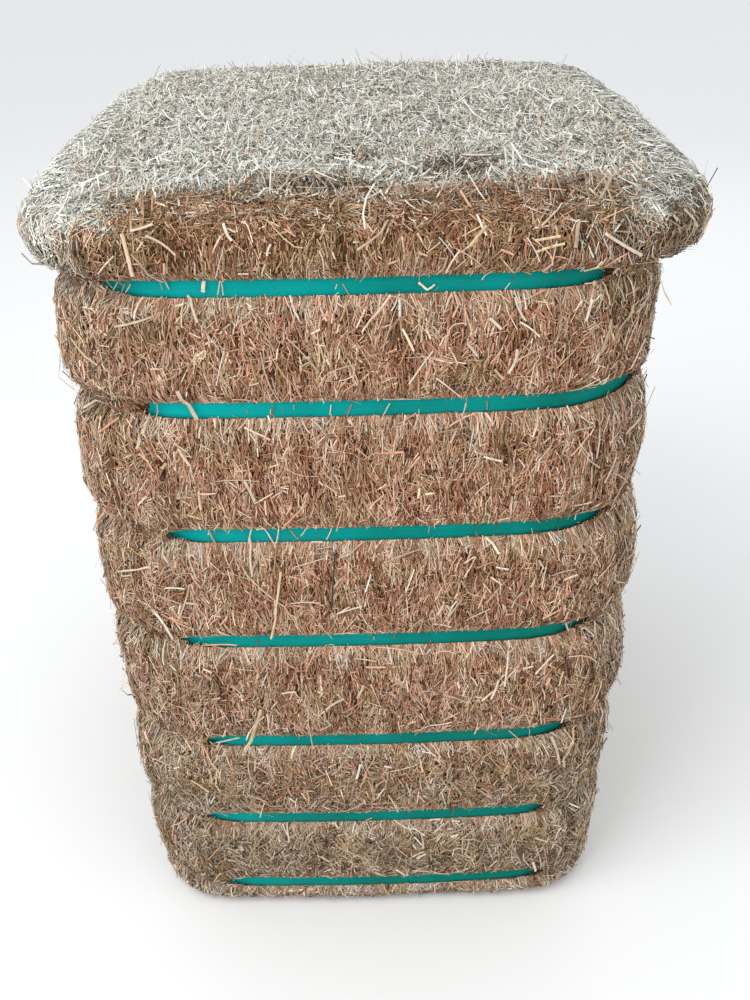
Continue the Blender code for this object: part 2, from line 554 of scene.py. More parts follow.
@dataclass(frozen=True)
class StrapFinish:
    """Satin green strapping with painted light towards its left and painted shade towards the foot, faint
    lines along it and a little straw dust.
    """

    # The two greens are one teal, lit and shaded: painted light on the left, painted shade on the right.
    lit_teal: Colour = (0, 168, 166)
    deep: Colour = (0, 112, 100)
    dust: Colour = (120, 190, 176)
    line_grain: Colour = (6.0, 6.0, 1400.0)
    roughness: float = 0.48
    gloss: float = 0.05
    foot_shade: float = 0.36
    half_run: float = 0.28

    def build(self) -> bpy.types.Material:
        """Makes the material, with painted light on the left and painted shade towards the foot.

        Returns:
            The material.
        """
        material, wiring, shader = new_material("green_strapping")
        place = wiring.node("ShaderNodeTexCoord").outputs["Object"]
        x, _, z = wiring.parts(place)
        lines = wiring.cloud(wiring.stretch(place, self.line_grain), 1.0, 2.0, 0.5)
        cloudy = wiring.cloud(place, 14.0, 3.0, 0.55)
        specks = wiring.cloud(place, 420.0, 2.0, 0.6)
        # Painted light falls from the left and painted shade grows towards the foot; the cloud makes it
        # blotchy.
        along = wiring.times(wiring.span(x, self.half_run, -self.half_run), 0.85)
        painted_light = wiring.plus(along, wiring.span(cloudy, 0.35, 0.65, -0.1, 0.15))
        painted_light = wiring.minus(painted_light, wiring.span(z, 0.80, 0.35, 0.0, self.foot_shade))
        colour = wiring.blend(wiring.span(painted_light, 0.0, 1.0), srgb(*self.deep), srgb(*self.lit_teal))
        colour = wiring.blend(wiring.span(lines, 0.5, 0.8, 0.0, 0.06), colour, srgb(*self.dust))
        colour = wiring.blend(wiring.span(specks, 0.70, 0.80, 0.0, 0.25), colour, srgb(*self.dust))
        rough = wiring.span(cloudy, 0.3, 0.7, self.roughness - 0.05, self.roughness + 0.1)
        wiring.put(shader.inputs["Base Color"], colour)
        wiring.put(shader.inputs["Specular IOR Level"], self.gloss)
        wiring.put(shader.inputs["Roughness"], rough)
        wiring.put(shader.inputs["Normal"], wiring.bump(lines, 0.0002, 0.5))
        return material


@dataclass(frozen=True)
class FloorFinish:
    """A plain pale floor."""

    colour: Colour = (240, 240, 238)
    roughness: float = 0.9

    def build(self) -> bpy.types.Material:
        """Makes the material.

        Returns:
            The material.
        """
        material, wiring, shader = new_material("pale_floor")
        wiring.put(shader.inputs["Base Color"], srgb(*self.colour))
        wiring.put(shader.inputs["Roughness"], self.roughness)
        return material


@dataclass
class Waves:
    """A smooth random field over a plane, summed from plane waves.

    Its values spread about 0 with a spread of about 1.
    """

    seed: int
    across: float
    along: float
    count: int = 22

    def __call__(self, u: Array, v: Array) -> Array:
        """The field at places on the plane.

        Args:
            u: metres across.
            v: metres along.

        Returns:
            The field's values.
        """
        draw = np.random.default_rng(self.seed)
        turn = draw.uniform(0, 2 * math.pi, self.count)
        rate = draw.uniform(0.5, 1.5, self.count) * 2 * math.pi
        phase = draw.uniform(0, 2 * math.pi, self.count)
        total = np.zeros(np.shape(u))
        for angle, speed, start in zip(turn, rate, phase):
            way = u / self.across * math.cos(angle) + v / self.along * math.sin(angle)
            total += np.cos(speed * way + start)
        return total / math.sqrt(self.count / 2)


@dataclass
class Skin:
    """The bale's surface as grids that straws are laid on, read off the CAD block.

    A place on the side grid has s, metres round the bale from the middle of the back, and q, which is the
    height up to the top edge and then the distance over the edge and across the top.
    """

    block: bpy.types.Object
    columns: int = 520
    rays: int = 1601
    ray_level: float = 0.55
    foot: float = 0.001
    step: float = 0.0025
    edge_drop: float = 0.041
    edge_radius: float = 0.034
    top_reach: float = 0.07
    top_step: float = 0.01
    girth: float = 0.0
    height: float = 0.0
    edge_q: float = 0.0
    grid: Array = field(default_factory=lambda: np.zeros(0))
    normals: Array = field(default_factory=lambda: np.zeros(0))
    top_heights: Array = field(default_factory=lambda: np.zeros(0))
    top_low: tuple[float, float] = (0.0, 0.0)

    def __post_init__(self) -> None:
        """Reads both grids off the block."""
        mesh = self.block.data
        points = [v.co.copy() for v in mesh.vertices]
        self.tree = BVHTree.FromPolygons(points, [tuple(p.vertices) for p in mesh.polygons])
        self.height = max(p.z for p in points)
        self.edge_q = self.height - self.edge_drop
        self.read_side()
        self.read_top(points)

    def hit(self, origin: Vector, way: Vector) -> Vector:
        """Where a ray from inside the block leaves it."""
        found = self.tree.ray_cast(origin, way)[0]
        return found if found is not None else origin + way * 0.01

    def directions(self) -> list[Vector]:
        """Level directions from the middle line that step evenly round the bale.

        Returns:
            One direction for each column of the side grid.
        """
        turn = np.linspace(math.pi / 2, 5 * math.pi / 2, self.rays)
        middle = Vector((0, 0, self.ray_level * self.height))
        ring = np.array([self.hit(middle, Vector((math.cos(a), math.sin(a), 0.0))) for a in turn])
        travel = np.concatenate([[0.0], np.cumsum(np.linalg.norm(np.diff(ring, axis=0), axis=1))])
        self.girth = float(travel[-1])
        even = np.linspace(0, self.girth, self.columns, endpoint=False)
        return [Vector((math.cos(a), math.sin(a), 0.0)) for a in np.interp(even, travel, turn)]

    def read_side(self) -> None:
        """Reads the side grid: level rays, then a fan over the top edge, then rays up through the top."""
        rays = self.directions()
        levels = np.arange(self.foot, self.edge_q, self.step)
        rows = [[self.hit(Vector((0, 0, z)), ray) for ray in rays] for z in levels]
        edge = np.array(rows[-1])
        along = np.roll(edge, -1, axis=0) - np.roll(edge, 1, axis=0)
        outward = unit(np.stack([along[:, 1], -along[:, 0], np.zeros(len(edge))], axis=1))
        pivots = edge - outward * self.edge_radius
        for index in range(1, int(self.edge_radius * math.pi / 2 / self.step) + 1):
            angle = index * self.step / self.edge_radius
            ways = outward * math.cos(angle) + np.array([0, 0, math.sin(angle)])
            rows.append([self.hit(Vector(p), Vector(w)) for p, w in zip(pivots, ways)])
        for index in range(1, int(self.top_reach / self.step)):
            origins = pivots - outward * index * self.step
            rows.append([self.hit(Vector(p), Vector((0, 0, 1))) for p in origins])
        self.grid = np.array(rows)
        around = np.roll(self.grid, -3, axis=1) - np.roll(self.grid, 3, axis=1)
        self.normals = unit(np.cross(around, np.gradient(self.grid, axis=0)))

    def read_top(self, points: list[Vector]) -> None:
        """Reads the top's heights on a plain grid, level beyond the edge.

        Args:
            points: the block's vertices.
        """
        low_x, high_x = min(p.x for p in points), max(p.x for p in points)
        low_y, high_y = min(p.y for p in points), max(p.y for p in points)
        self.top_low = (low_x, low_y)
        xs = np.arange(low_x, high_x + self.top_step, self.top_step)
        ys = np.arange(low_y, high_y + self.top_step, self.top_step)
        level = self.height - self.edge_radius
        self.top_heights = np.full((len(ys), len(xs)), level)
        for row, y in enumerate(ys):
            for column, x in enumerate(xs):
                found = self.tree.ray_cast(Vector((x, y, 0.5)), Vector((0, 0, 1)))[0]
                if found is not None:
                    self.top_heights[row, column] = max(found.z, level)

    def side(self, s: Array, q: Array) -> tuple[Array, Array]:
        """Places and outward directions on the side grid.

        Args:
            s: metres round the bale.
            q: metres up, over the edge and across the top.

        Returns:
            The places and the unit normals, each with a last axis of three.
        """
        column = (s / self.girth * self.columns) % self.columns
        row = np.clip((q - self.foot) / self.step, 0, len(self.grid) - 1.001)
        c0, r0 = np.floor(column).astype(int) % self.columns, np.floor(row).astype(int)
        c1 = (c0 + 1) % self.columns
        cf, rf = (column - np.floor(column))[..., None], (row - r0)[..., None]

        def read(grid: Array) -> Array:
            """Reads a grid between its four nearest points.

            Args:
                grid: the grid, of which each point holds a vector.

            Returns:
                The vectors at the places.
            """
            low = grid[r0, c0] * (1 - cf) + grid[r0, c1] * cf
            high = grid[r0 + 1, c0] * (1 - cf) + grid[r0 + 1, c1] * cf
            return low * (1 - rf) + high * rf

        return read(self.grid), unit(read(self.normals))

    def top(self, x: Array, y: Array) -> tuple[Array, Array]:
        """Places and upward directions on the top, level beyond its edge.

        Args:
            x: metres across the bale.
            y: metres along its depth.

        Returns:
            The places and the upward directions.
        """
        rows, columns = self.top_heights.shape
        column = np.clip((x - self.top_low[0]) / self.top_step, 0, columns - 1.001)
        row = np.clip((y - self.top_low[1]) / self.top_step, 0, rows - 1.001)
        c0, r0 = column.astype(int), row.astype(int)
        cf, rf = column - c0, row - r0
        heights = self.top_heights
        low = heights[r0, c0] * (1 - cf) + heights[r0, c0 + 1] * cf
        high = heights[r0 + 1, c0] * (1 - cf) + heights[r0 + 1, c0 + 1] * cf
        normals = np.zeros(np.shape(x) + (3,))
        normals[..., 2] = 1.0
        return np.stack([x, y, low * (1 - rf) + high * rf], axis=-1), normals

    def outline_gap(self, x: Array, y: Array) -> Array:
        """How far each place lies inside the top section's outline.

        Args:
            x: metres across the bale.
            y: metres along its depth.

        Returns:
            The gaps, below 0 outside the outline.
        """
        ring = self.grid[int(self.edge_q / self.step) - 2][:, :2]
        angles = np.arctan2(ring[:, 1], ring[:, 0])
        order = np.argsort(angles)
        reaches = np.linalg.norm(ring, axis=1)
        reach = np.interp(np.arctan2(y, x), angles[order], reaches[order], period=2 * math.pi)
        return reach - np.hypot(x, y)


@dataclass
class Straws:
    """Straws as arrays with one row for each: where they lie, their form and their colour."""

    u: Array
    v: Array
    angle: Array
    length: Array
    width: Array
    bend: Array
    depth: Array
    lift: Array
    twist: Array
    tone: Array
    kind: Array

    SHORT = 0.018
    CURL = 1.5

    def __len__(self) -> int:
        """How many straws there are."""
        return len(self.u)

    def keep(self, mask: Array) -> Straws:
        """The straws that a mask picks."""
        return Straws(**{name: value[mask] for name, value in vars(self).items()})

    def short(self) -> Array:
        """Which straws are short enough for a single face."""
        return self.length < self.SHORT

    def centre_lines(self, stations: int) -> tuple[Array, Array, Array]:
        """The straws' middle lines in the plane of their patch.

        Args:
            stations: how many points each line has.

        Returns:
            The lines' u, their v, and how far out each point lies: the straw's depth and its tip's lift.
        """
        share = np.linspace(0.0, 1.0, stations)[None, :]
        forward = (share - 0.5) * self.length[:, None]
        sideways = self.bend[:, None] * self.length[:, None] * ((share - 0.5) ** 2 - 1 / 12)
        cos, sin = np.cos(self.angle)[:, None], np.sin(self.angle)[:, None]
        u = self.u[:, None] + forward * cos - sideways * sin
        v = self.v[:, None] + forward * sin + sideways * cos
        return u, v, self.depth[:, None] + self.lift[:, None] * self.length[:, None] * share ** self.CURL


@dataclass
class StrawMesher:
    """Turns straws into one joined mesh of bent ribbons, flat or with a ridge along the middle."""

    finish: StrawFinish
    material: bpy.types.Material
    seed: int = 5
    ridge_height: float = 0.55

    def stripe(self, straws: Straws) -> Array:
        """The palette stripe of each straw."""
        last = self.finish.tones - 1
        return straws.kind * self.finish.tones + np.clip(np.round(straws.tone * last), 0, last)

    def arrays(self, straws: Straws, points: Array, normals: Array, ridge: bool) -> tuple[Array, ...]:
        """Works out the ribbons of some straws.

        Args:
            straws: the straws' form and colour.
            points: the straws' middle lines, straw by station by three.
            normals: the surface's outward directions there.
            ridge: whether each straw has a raised middle line.

        Returns:
            The vertices, the four corners of each face, and each vertex's place on the palette.
        """
        count, stations = points.shape[:2]
        along = np.gradient(points, axis=1)
        across = unit(np.cross(along, normals))
        out = unit(np.cross(across, along))
        turn = straws.twist[:, None, None]
        side = across * np.cos(turn) + out * np.sin(turn)
        face = out * np.cos(turn) - across * np.sin(turn)
        half = straws.width[:, None, None] / 2
        lanes = [points - side * half, points + side * half]
        if ridge:
            lanes.insert(1, points + face * half * self.ridge_height)
        lane_count = len(lanes)
        base = (np.arange(count) * stations * lane_count)[:, None, None]
        station = np.arange(stations - 1)[None, :, None] * lane_count
        first = base + station + np.arange(lane_count - 1)[None, None, :]
        corners = [first, first + 1, first + 1 + lane_count, first + lane_count]
        draw = np.random.default_rng(self.seed + count)
        start = draw.uniform(0.01, 0.62, count)
        lane_share = np.linspace(0.12, 0.88, lane_count)
        u = (self.stripe(straws)[:, None, None] + lane_share[None, None, :]) / self.finish.stripes
        v = start[:, None, None] + 0.36 * np.linspace(0, 1, stations)[None, :, None]
        uv = np.stack(np.broadcast_arrays(u, v), axis=-1).reshape(-1, 2)
        return np.stack(lanes, axis=2).reshape(-1, 3), np.stack(corners, axis=-1).reshape(-1, 4), uv

    def build(self, name: str, parts: list[tuple[Straws, Array, Array]], ridge: bool) -> bpy.types.Object:
        """Makes one piece of several sets of straws.

        Args:
            name: the piece's name.
            parts: each set's straws, middle lines and outward directions.
            ridge: whether each straw has a raised middle line.

        Returns:
            The finished piece, riding on the bale.
        """
        made = [self.arrays(*part, ridge) for part in parts]
        starts = np.cumsum([0] + [len(item[0]) for item in made])
        vertices = np.concatenate([item[0] for item in made])
        quads = np.concatenate([item[1] + start for item, start in zip(made, starts)])
        uv = np.concatenate([item[2] for item in made])
        mesh = bpy.data.meshes.new(name)
        mesh.vertices.add(len(vertices))
        mesh.vertices.foreach_set("co", vertices.astype(np.float32).ravel())
        mesh.loops.add(quads.size)
        mesh.loops.foreach_set("vertex_index", quads.astype(np.int32).ravel())
        mesh.polygons.add(len(quads))
        mesh.polygons.foreach_set("loop_start", np.arange(0, quads.size, 4, dtype=np.int32))
        layer = mesh.uv_layers.new(name=UV_NAME)
        layer.uv.foreach_set("vector", uv[quads.ravel()].astype(np.float32).ravel())
        mesh.update(calc_edges=True)
        piece = new_piece(mesh, self.material)
        LOG.info("%s: %d straws, %d triangles", name, sum(len(part[0]) for part in parts), 2 * len(quads))
        return piece


@dataclass
class StrapLine:
    """Where a strap runs, and how much of it shows on the front between the corners."""

    height: float
    show_from: float
    show_to: float
    width: float = 0.019
    corner_cover: float = 0.062
    taper: float = 0.045
    left_taper: float = 0.045
    half_width: float = 0.300
    half_depth: float = 0.400
    front_y: float = -0.33
    back_y: float = 0.37

    @property
    def low(self) -> float:
        """The height of the strap's lower edge."""
        return self.height - self.width / 2

    @property
    def high(self) -> float:
        """The height of the strap's upper edge."""
        return self.height + self.width / 2

    def cover(self, x: Array, y: Array) -> Array:
        """How far straw covers the strap: 1 at a corner, 0 along the open run of a side.

        Args:
            x: places across the bale.
            y: places along its depth.

        Returns:
            The cover at each place.
        """
        open_left = np.clip((x - self.show_from) / self.left_taper, 0.0, 1.0)
        open_right = np.clip((self.show_to - x) / self.taper, 0.0, 1.0)
        reach = self.half_width - self.corner_cover
        rear = ease(reach, reach - self.taper, np.abs(x))
        reach = self.half_depth - self.corner_cover
        flank = ease(reach, reach - self.taper, np.abs(y))
        run = np.where(y < self.front_y, open_left * open_right, np.where(y > self.back_y, rear, flank))
        return 1.0 - run


def cover_fill(straps: list[StrapLine], points: Array, full_at: float = 0.0) -> Array:
    """How far straw swells out over the straps where it covers them.

    Args:
        straps: the straps.
        points: places on the bale.
        full_at: the cover below which there is no swelling.

    Returns:
        The swelling at each place.
    """
    most, reach = 0.010, 0.020
    fill = np.zeros(points.shape[:-1])
    for line in straps:
        near = np.exp(-((points[..., 2] - line.height) / reach) ** 2)
        cover = line.cover(points[..., 0], points[..., 1])
        fill = fill + most * near * np.clip((cover - full_at) / (1.0 - full_at), 0.0, 1.0)
    return fill


@dataclass
class StrapPiece:
    """One strap: a band with rounded edges round the bale, its ends lapped and welded on the back."""

    line: StrapLine
    node: str
    thickness: float = 0.0012
    clearance: float = 0.0003
    rounding: float = 0.0003
    weld: float = 0.0001
    sway: float = 0.00035
    stations: int = 144
    smoothings: int = 3
    lap_length: float = 0.073

    def path(self, skin: Skin) -> tuple[Array, Array]:
        """The band's run round the bale.

        Args:
            skin: the bale's surface.

        Returns:
            The places along the run and the outward directions there.
        """
        s = np.linspace(0, skin.girth, self.stations, endpoint=False)
        points, _ = skin.side(s, np.full(self.stations, self.line.height))
        for _ in range(self.smoothings):
            points = (np.roll(points, 1, axis=0) + 2 * points + np.roll(points, -1, axis=0)) / 4
        along = np.roll(points, -1, axis=0) - np.roll(points, 1, axis=0)
        return points, unit(np.stack([along[:, 1], -along[:, 0], np.zeros(len(points))], axis=1))

    def section(self, inner: float) -> list[tuple[float, float]]:
        """The band's cross-section: how far out and how high each corner is.

        Args:
            inner: how far out its inner face is.

        Returns:
            The corners in order.
        """
        half, cut = self.line.width / 2, self.rounding
        outer = inner + self.thickness
        return [
            (inner, -half + cut), (inner + cut, -half), (outer - cut, -half), (outer, -half + cut),
            (outer, -half / 3), (outer, half / 3),
            (outer, half - cut), (outer - cut, half), (inner + cut, half), (inner, half - cut),
        ]

    def sweep(
        self, shape: bmesh.types.BMesh, points: Array, outward: Array, inner: float, closed: bool,
    ) -> None:
        """Sweeps the cross-section along a run of points into a bmesh.

        Args:
            shape: the bmesh.
            points: the run.
            outward: the outward directions along it.
            inner: how far out the band's inner face is.
            closed: whether the run joins its own start.
        """
        section = self.section(inner)
        rings = []
        for point, way in zip(points, outward):
            sway = self.sway * noise.noise(Vector(point) * 14 + Vector((0, 0, self.line.height * 40)))
            place, way = Vector(point), Vector(way)
            ring = [shape.verts.new(place + way * out + Vector((0, 0, up + sway))) for out, up in section]
            for first, second in zip(ring, ring[1:] + ring[:1]):
                shape.edges.new((first, second))
            rings.append(ring)
        for low, high in list(zip(rings, rings[1:])) + ([(rings[-1], rings[0])] if closed else []):
            pairs = [(ring[i], ring[i - 1]) for ring in (low, high) for i in range(len(ring))]
            bmesh.ops.bridge_loops(shape, edges=[shape.edges.get(pair) for pair in pairs])
        if not closed:
            for ring in (rings[0], rings[-1]):
                bmesh.ops.contextual_create(shape, geom=ring)

    def build(self, skin: Skin, material: bpy.types.Material) -> bpy.types.Object:
        """Makes the strap in place of its CAD node.

        Args:
            skin: the bale's surface.
            material: the strap's material.

        Returns:
            The strap.
        """
        points, outward = self.path(skin)
        shape = bmesh.new()
        self.sweep(shape, points, outward, self.clearance, True)
        travel = np.arange(self.stations) * skin.girth / self.stations
        near = travel > skin.girth - self.lap_length
        self.sweep(shape, points[near], outward[near], self.clearance + self.thickness - self.weld, False)
        bmesh.ops.recalc_face_normals(shape, faces=shape.faces)
        piece = new_piece(bmesh_to_mesh(shape, self.node + "_band"), material)
        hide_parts(self.node)
        LOG.info("%s: %d faces", piece.name, len(piece.data.polygons))
        return piece


@dataclass
class PressedCore:
    """The dense straw under the mantle: the CAD block's skin, sunk a little and roughened."""

    skin: Skin
    straps: list[StrapLine]
    sink: float = 0.0055
    seat_sink: float = 0.0015
    seat_edge: float = 0.008
    roughness: float = 0.0028
    cover_share: float = 0.7
    cover_from: float = 0.985
    foot: float = 0.002

    def move(self, vert: bmesh.types.BMVert) -> Vector:
        """How a vertex sinks: less in the straps' seats, and more or less by the roughness.

        Args:
            vert: the vertex.

        Returns:
            The way it moves.
        """
        gap = min(abs(vert.co.z - line.height) - line.width / 2 for line in self.straps)
        away = min(max(gap / self.seat_edge, 0.0), 1.0)
        rough = noise.noise(vert.co * 60) + 0.7 * noise.noise(vert.co * 140)
        sink = self.seat_sink + (self.sink - self.seat_sink) * away + self.roughness * rough * away
        return -vert.normal * sink

    def top_share(self, vert: bmesh.types.BMVert) -> float:
        """How far a vertex belongs to the top, pale with bleaching and partly painted light, by how far it
        faces up.
        """
        upward, behind_front = (vert.normal.z - 0.35) / 0.4, (vert.co.y + 0.37) / 0.03
        return min(max(upward, 0.0), 1.0) * min(max(behind_front, 0.0), 1.0)

    def build(self, material: bpy.types.Material) -> bpy.types.Object:
        """Makes the core in place of the CAD block.

        Args:
            material: the core's material.

        Returns:
            The core.
        """
        shape = bmesh.new()
        shape.from_mesh(self.skin.block.data)
        bmesh.ops.remove_doubles(shape, verts=shape.verts, dist=1e-5)
        bmesh.ops.subdivide_edges(shape, edges=shape.edges, cuts=1, use_grid_fill=True)
        bmesh.ops.triangulate(shape, faces=[f for f in shape.faces if len(f.verts) > 4])
        shape.normal_update()
        moves = [self.move(vert) for vert in shape.verts]
        places = np.array([vert.co for vert in shape.verts])
        swell = self.cover_share * cover_fill(self.straps, places, self.cover_from)
        for vert, move, out in zip(shape.verts, moves, swell):
            if vert.co.z > self.foot:
                vert.co += move + Vector((vert.normal.x, vert.normal.y, 0.0)) * float(out)
        mask = shape.verts.layers.float.new(TOP_MASK)
        for vert in shape.verts:
            vert[mask] = self.top_share(vert)
        piece = new_piece(bmesh_to_mesh(shape, "pressed_core"), material)
        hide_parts(self.skin.block.name)
        LOG.info("pressed_core: %d faces", len(piece.data.polygons))
        return piece


@dataclass
class SideMantle:
    """The straws laid on one upright side, from the floor to a little way over the top edge.

    The named steps are over x at the left and the right ends and corners, over y at the front, and over q
    at the top section, the top right and the overhang.
    """

    skin: Skin
    straps: list[StrapLine]
    mesher: StrawMesher
    seed: int
    density: float
    width: float
    length: float
    chaff: float
    edge_thinning: float = 0.0
    corner_reach: float = 0.035

    FRONT = Step(-0.30, -0.36)
    FRONT_CORNER = Step(-0.30, -0.35)
    LEFT_END = Step(-0.22, -0.27)
    LEFT_CORNER = Step(-0.275, -0.300)
    RIGHT_END = Step(0.15, 0.24)
    TOP_SECTION = Step(0.935, 0.955)
    TOP_RIGHT = Step(0.93, 0.95)
    OVERHANG = Step(0.915, 0.945)

    def column_span(self, side: Side) -> tuple[float, float]:
        """Where a side begins and ends round the bale; the front reaches round both corners.

        Args:
            side: the side.

        Returns:
            The first and the last s.
        """
        ring = self.skin.grid[len(self.skin.grid) // 3][:, :2]
        facing = np.array(side.value)
        other = np.abs(ring @ np.array([-facing[1], facing[0]]))
        toward = ring @ facing
        inside = (toward > 0) & (other / other.max() < toward / toward.max())
        s = np.arange(self.skin.columns) * self.skin.girth / self.skin.columns
        if side is Side.BACK:
            s = np.where(s > self.skin.girth / 2, s - self.skin.girth, s)
        low, high = float(s[inside].min()), float(s[inside].max())
        if side is Side.FRONT:
            return low - self.corner_reach, high + self.corner_reach
        if side is Side.RIGHT:
            low = low + self.corner_reach
        if side is Side.LEFT:
            high = high - self.corner_reach
        return low, high

    def draw(self, low_s: float, high_s: float, low_q: float, high_q: float) -> Straws:
        """Draws the straws of a rectangle of the side.

        Args:
            low_s: where it begins round the bale.
            high_s: where it ends.
            low_q: its lowest height.
            high_q: its greatest height, or distance past the edge.

        Returns:
            The straws, before they are moved off the straps.
        """
        draw = np.random.default_rng(self.seed)
        count = int((high_s - low_s) * (high_q - low_q) * self.density)
        s, q = draw.uniform(low_s, high_s, count), draw.uniform(low_q, high_q, count)
        angle, chaff = self.lean(draw, s, q)
        length = sizes(draw, count, self.length, 0.38, 0.010, 0.062)
        length = np.where(chaff, draw.uniform(0.004, 0.0124, count), length)
        width = sizes(draw, count, self.width, 0.36, 0.0006, 0.0032)
        fine = 1.0 - self.edge_thinning * ease(self.skin.edge_q - 0.01, self.skin.edge_q + 0.02, q)
        depth = draw.uniform(-0.0050, 0.0014, count)
        depth = np.where(chaff, draw.uniform(-0.001, 0.002, count), depth)
        lift = tip_lifts(draw, count, 0.055, 0.022, 0.38)
        tone = self.tone(draw, s, q, depth)
        kind = self.kind(draw, s, q)
        return Straws(
            u=s, v=q, angle=angle, length=np.maximum(length * fine, 0.004), width=width * fine,
            bend=draw.normal(0, 0.11, count), depth=depth, lift=lift,
            twist=draw.normal(0, 0.45, count), tone=tone, kind=kind,
        )

    def lean(self, draw: Draw, s: Array, q: Array) -> tuple[Array, Array]:
        """Which way each straw points: upright and swirled where they are combed, any way where they cross.

        Args:
            draw: the random numbers.
            s: places round the bale.
            q: heights.

        Returns:
            The angles, and which straws are short chaff.
        """
        count = len(s)
        swirl = Waves(self.seed + 1, 0.05, 0.09)(s, q)
        eddy = Waves(self.seed + 2, 0.022, 0.03)(s, q)
        combed = self.combed(s, q)
        spread = 0.46 - 0.26 * combed
        angle = math.pi / 2 + spread * (0.6 * swirl + 0.6 * eddy) + draw.normal(0, 1, count) * spread
        chaff = draw.random(count) < self.chaff
        points, _ = self.skin.side(s, q)
        past = q - 0.022 * self.FRONT_CORNER(points[:, 1])
        over_edge = ease(self.skin.edge_q + 0.005, self.skin.edge_q + 0.05, past)
        crossing = draw.random(count) < 0.36 - 0.26 * combed + 0.7 * over_edge
        crossing = crossing | (chaff & (draw.random(count) < 0.9 - 0.5 * combed))
        angle = np.where(crossing, draw.uniform(0, math.pi, count), angle)
        return angle + math.pi * (draw.random(count) < 0.5), chaff

    def combed(self, s: Array, q: Array) -> Array:
        """How well the straws hang upright: best in the middle, less at the corners, the top and the foot.

        Args:
            s: places round the bale.
            q: heights.

        Returns:
            The shares, 0 to 1.
        """
        points, _ = self.skin.side(s, q)
        level = ease(0.22, 0.40, q) * ease(0.985, 0.960, q)
        across = ease(0.31, 0.18, np.abs(points[:, 0]))
        patch = Waves(self.seed + 12, 0.07, 0.07)(s, q)
        return np.clip(level * (0.35 + 0.65 * across) + 0.30 * patch, 0.0, 1.0)

    def under_strap(self, q: Array, drop: float) -> list[Array]:
        """How near each place is to a line a given drop below each strap, as one array for each strap."""
        return [np.exp(-((q - line.low + drop) / 0.009) ** 2) * (q < line.low) for line in self.straps]

    def tufts(self, s: Array) -> Array:
        """Where pale tufts hang below the straps, round the bale."""
        return ease(0.1, 1.4, Waves(self.seed + 10, 0.035, 1.0)(s, s * 0))

    def tone(self, draw: Draw, s: Array, q: Array, depth: Array) -> Array:
        """How light each straw is.

        Straws carry painted shade where they lie deep, in creases between sheaves, on the right and at the
        foot, and they are darker in the front's top section. They are lighter under the straps (pale tufts
        and painted light), at the other sides' rim (painted light) and at the left corner (pale tufts and
        painted light).

        Args:
            draw: the random numbers.
            s: places round the bale.
            q: heights.
            depth: how far out the straws lie.

        Returns:
            The tones, 0 to 1.
        """
        points, _ = self.skin.side(s, q)
        x, front = points[:, 0], self.FRONT(points[:, 1])
        sheaf = Waves(self.seed + 3, 0.028, 0.16)(s, q)
        patch = Waves(self.seed + 4, 0.06, 0.05)(s, q)
        # Painted shade in creases between sheaves.
        crease_shade = np.exp(-(Waves(self.seed + 7, 0.016, 0.14)(s, q) / 0.16) ** 2)
        crease_shade = crease_shade * ease(0.0, 0.8, Waves(self.seed + 8, 0.05, 0.06)(s, q))
        # Deeper straws are darker: painted shade between the straws.
        tone = 0.505 + 0.07 * sheaf + 0.05 * patch - 0.22 * crease_shade + 36 * (depth + 0.002)
        tone = tone + draw.normal(0, 0.27, len(s))
        # Painted shade on the right, away from the light, and towards the foot.
        tone = tone - 0.07 * ease(0.05, 0.30, x) * ease(0.10, 0.30, q) - 0.06 * ease(0.42, 0.25, q)
        dim = 0.17 + 0.13 * ease(-0.14, -0.20, x) * ease(0.985, 0.965, q)
        tone = tone - dim * self.TOP_SECTION(q) * front * (1.0 - self.LEFT_END(x) * ease(0.962, 0.978, q))
        # Lighter at the left corner: pale tufts, and painted light on its shaded underside.
        tone = tone + 0.24 * self.LEFT_CORNER(x) * self.OVERHANG(q)
        tone = tone + 0.05 * self.RIGHT_END(x) * self.TOP_RIGHT(q)
        # Painted light on the other sides' rim, where it turns up to the light.
        tone = tone + 0.13 * ease(self.skin.edge_q - 0.015, self.skin.edge_q + 0.015, q) * (1.0 - front)
        # Lighter under the straps: pale tufts, and painted light on the shoulder below each strap.
        under = np.maximum.reduce(self.under_strap(q, 0.010))
        return np.clip(tone + 0.17 * under * (0.5 + 1.5 * self.tufts(s)), 0.0, 1.0)

    def kind(self, draw: Draw, s: Array, q: Array) -> Array:
        """Each straw's family of colour, from where it lies.

        Args:
            draw: the random numbers.
            s: places round the bale.
            q: heights.

        Returns:
            The families' numbers.
        """
        points, normals = self.skin.side(s, q)
        x, y, edge_q = points[:, 0], points[:, 1], self.skin.edge_q
        warm = 0.98 - 0.95 * ease(0.52, 0.05, q)
        warm = warm - 0.30 * ease(-0.08, -0.30, x) - 0.30 * ease(0.16, 0.26, x) - 0.55 * ease(0.25, 0.33, x)
        warm = np.where(ease(0.2, 0.9, -normals[:, 1]) > 0.3, warm, warm * 0.6)
        mottle = 0.12 * Waves(self.seed + 5, 0.05, 0.03)(s, q)
        # Straws that face up over the edge turn pale: bleaching, and partly painted light from above.
        facing_up = normals[:, 2] + mottle + 0.30 * ease(0.22, 0.30, np.abs(x))
        pale = ease(0.86, 0.995, facing_up) * ease(edge_q - 0.02, edge_q + 0.02, q)
        pale = pale * (1.0 - 0.8 * self.FRONT(y) * ease(0.29, 0.23, x) * ease(-0.27, -0.19, x))
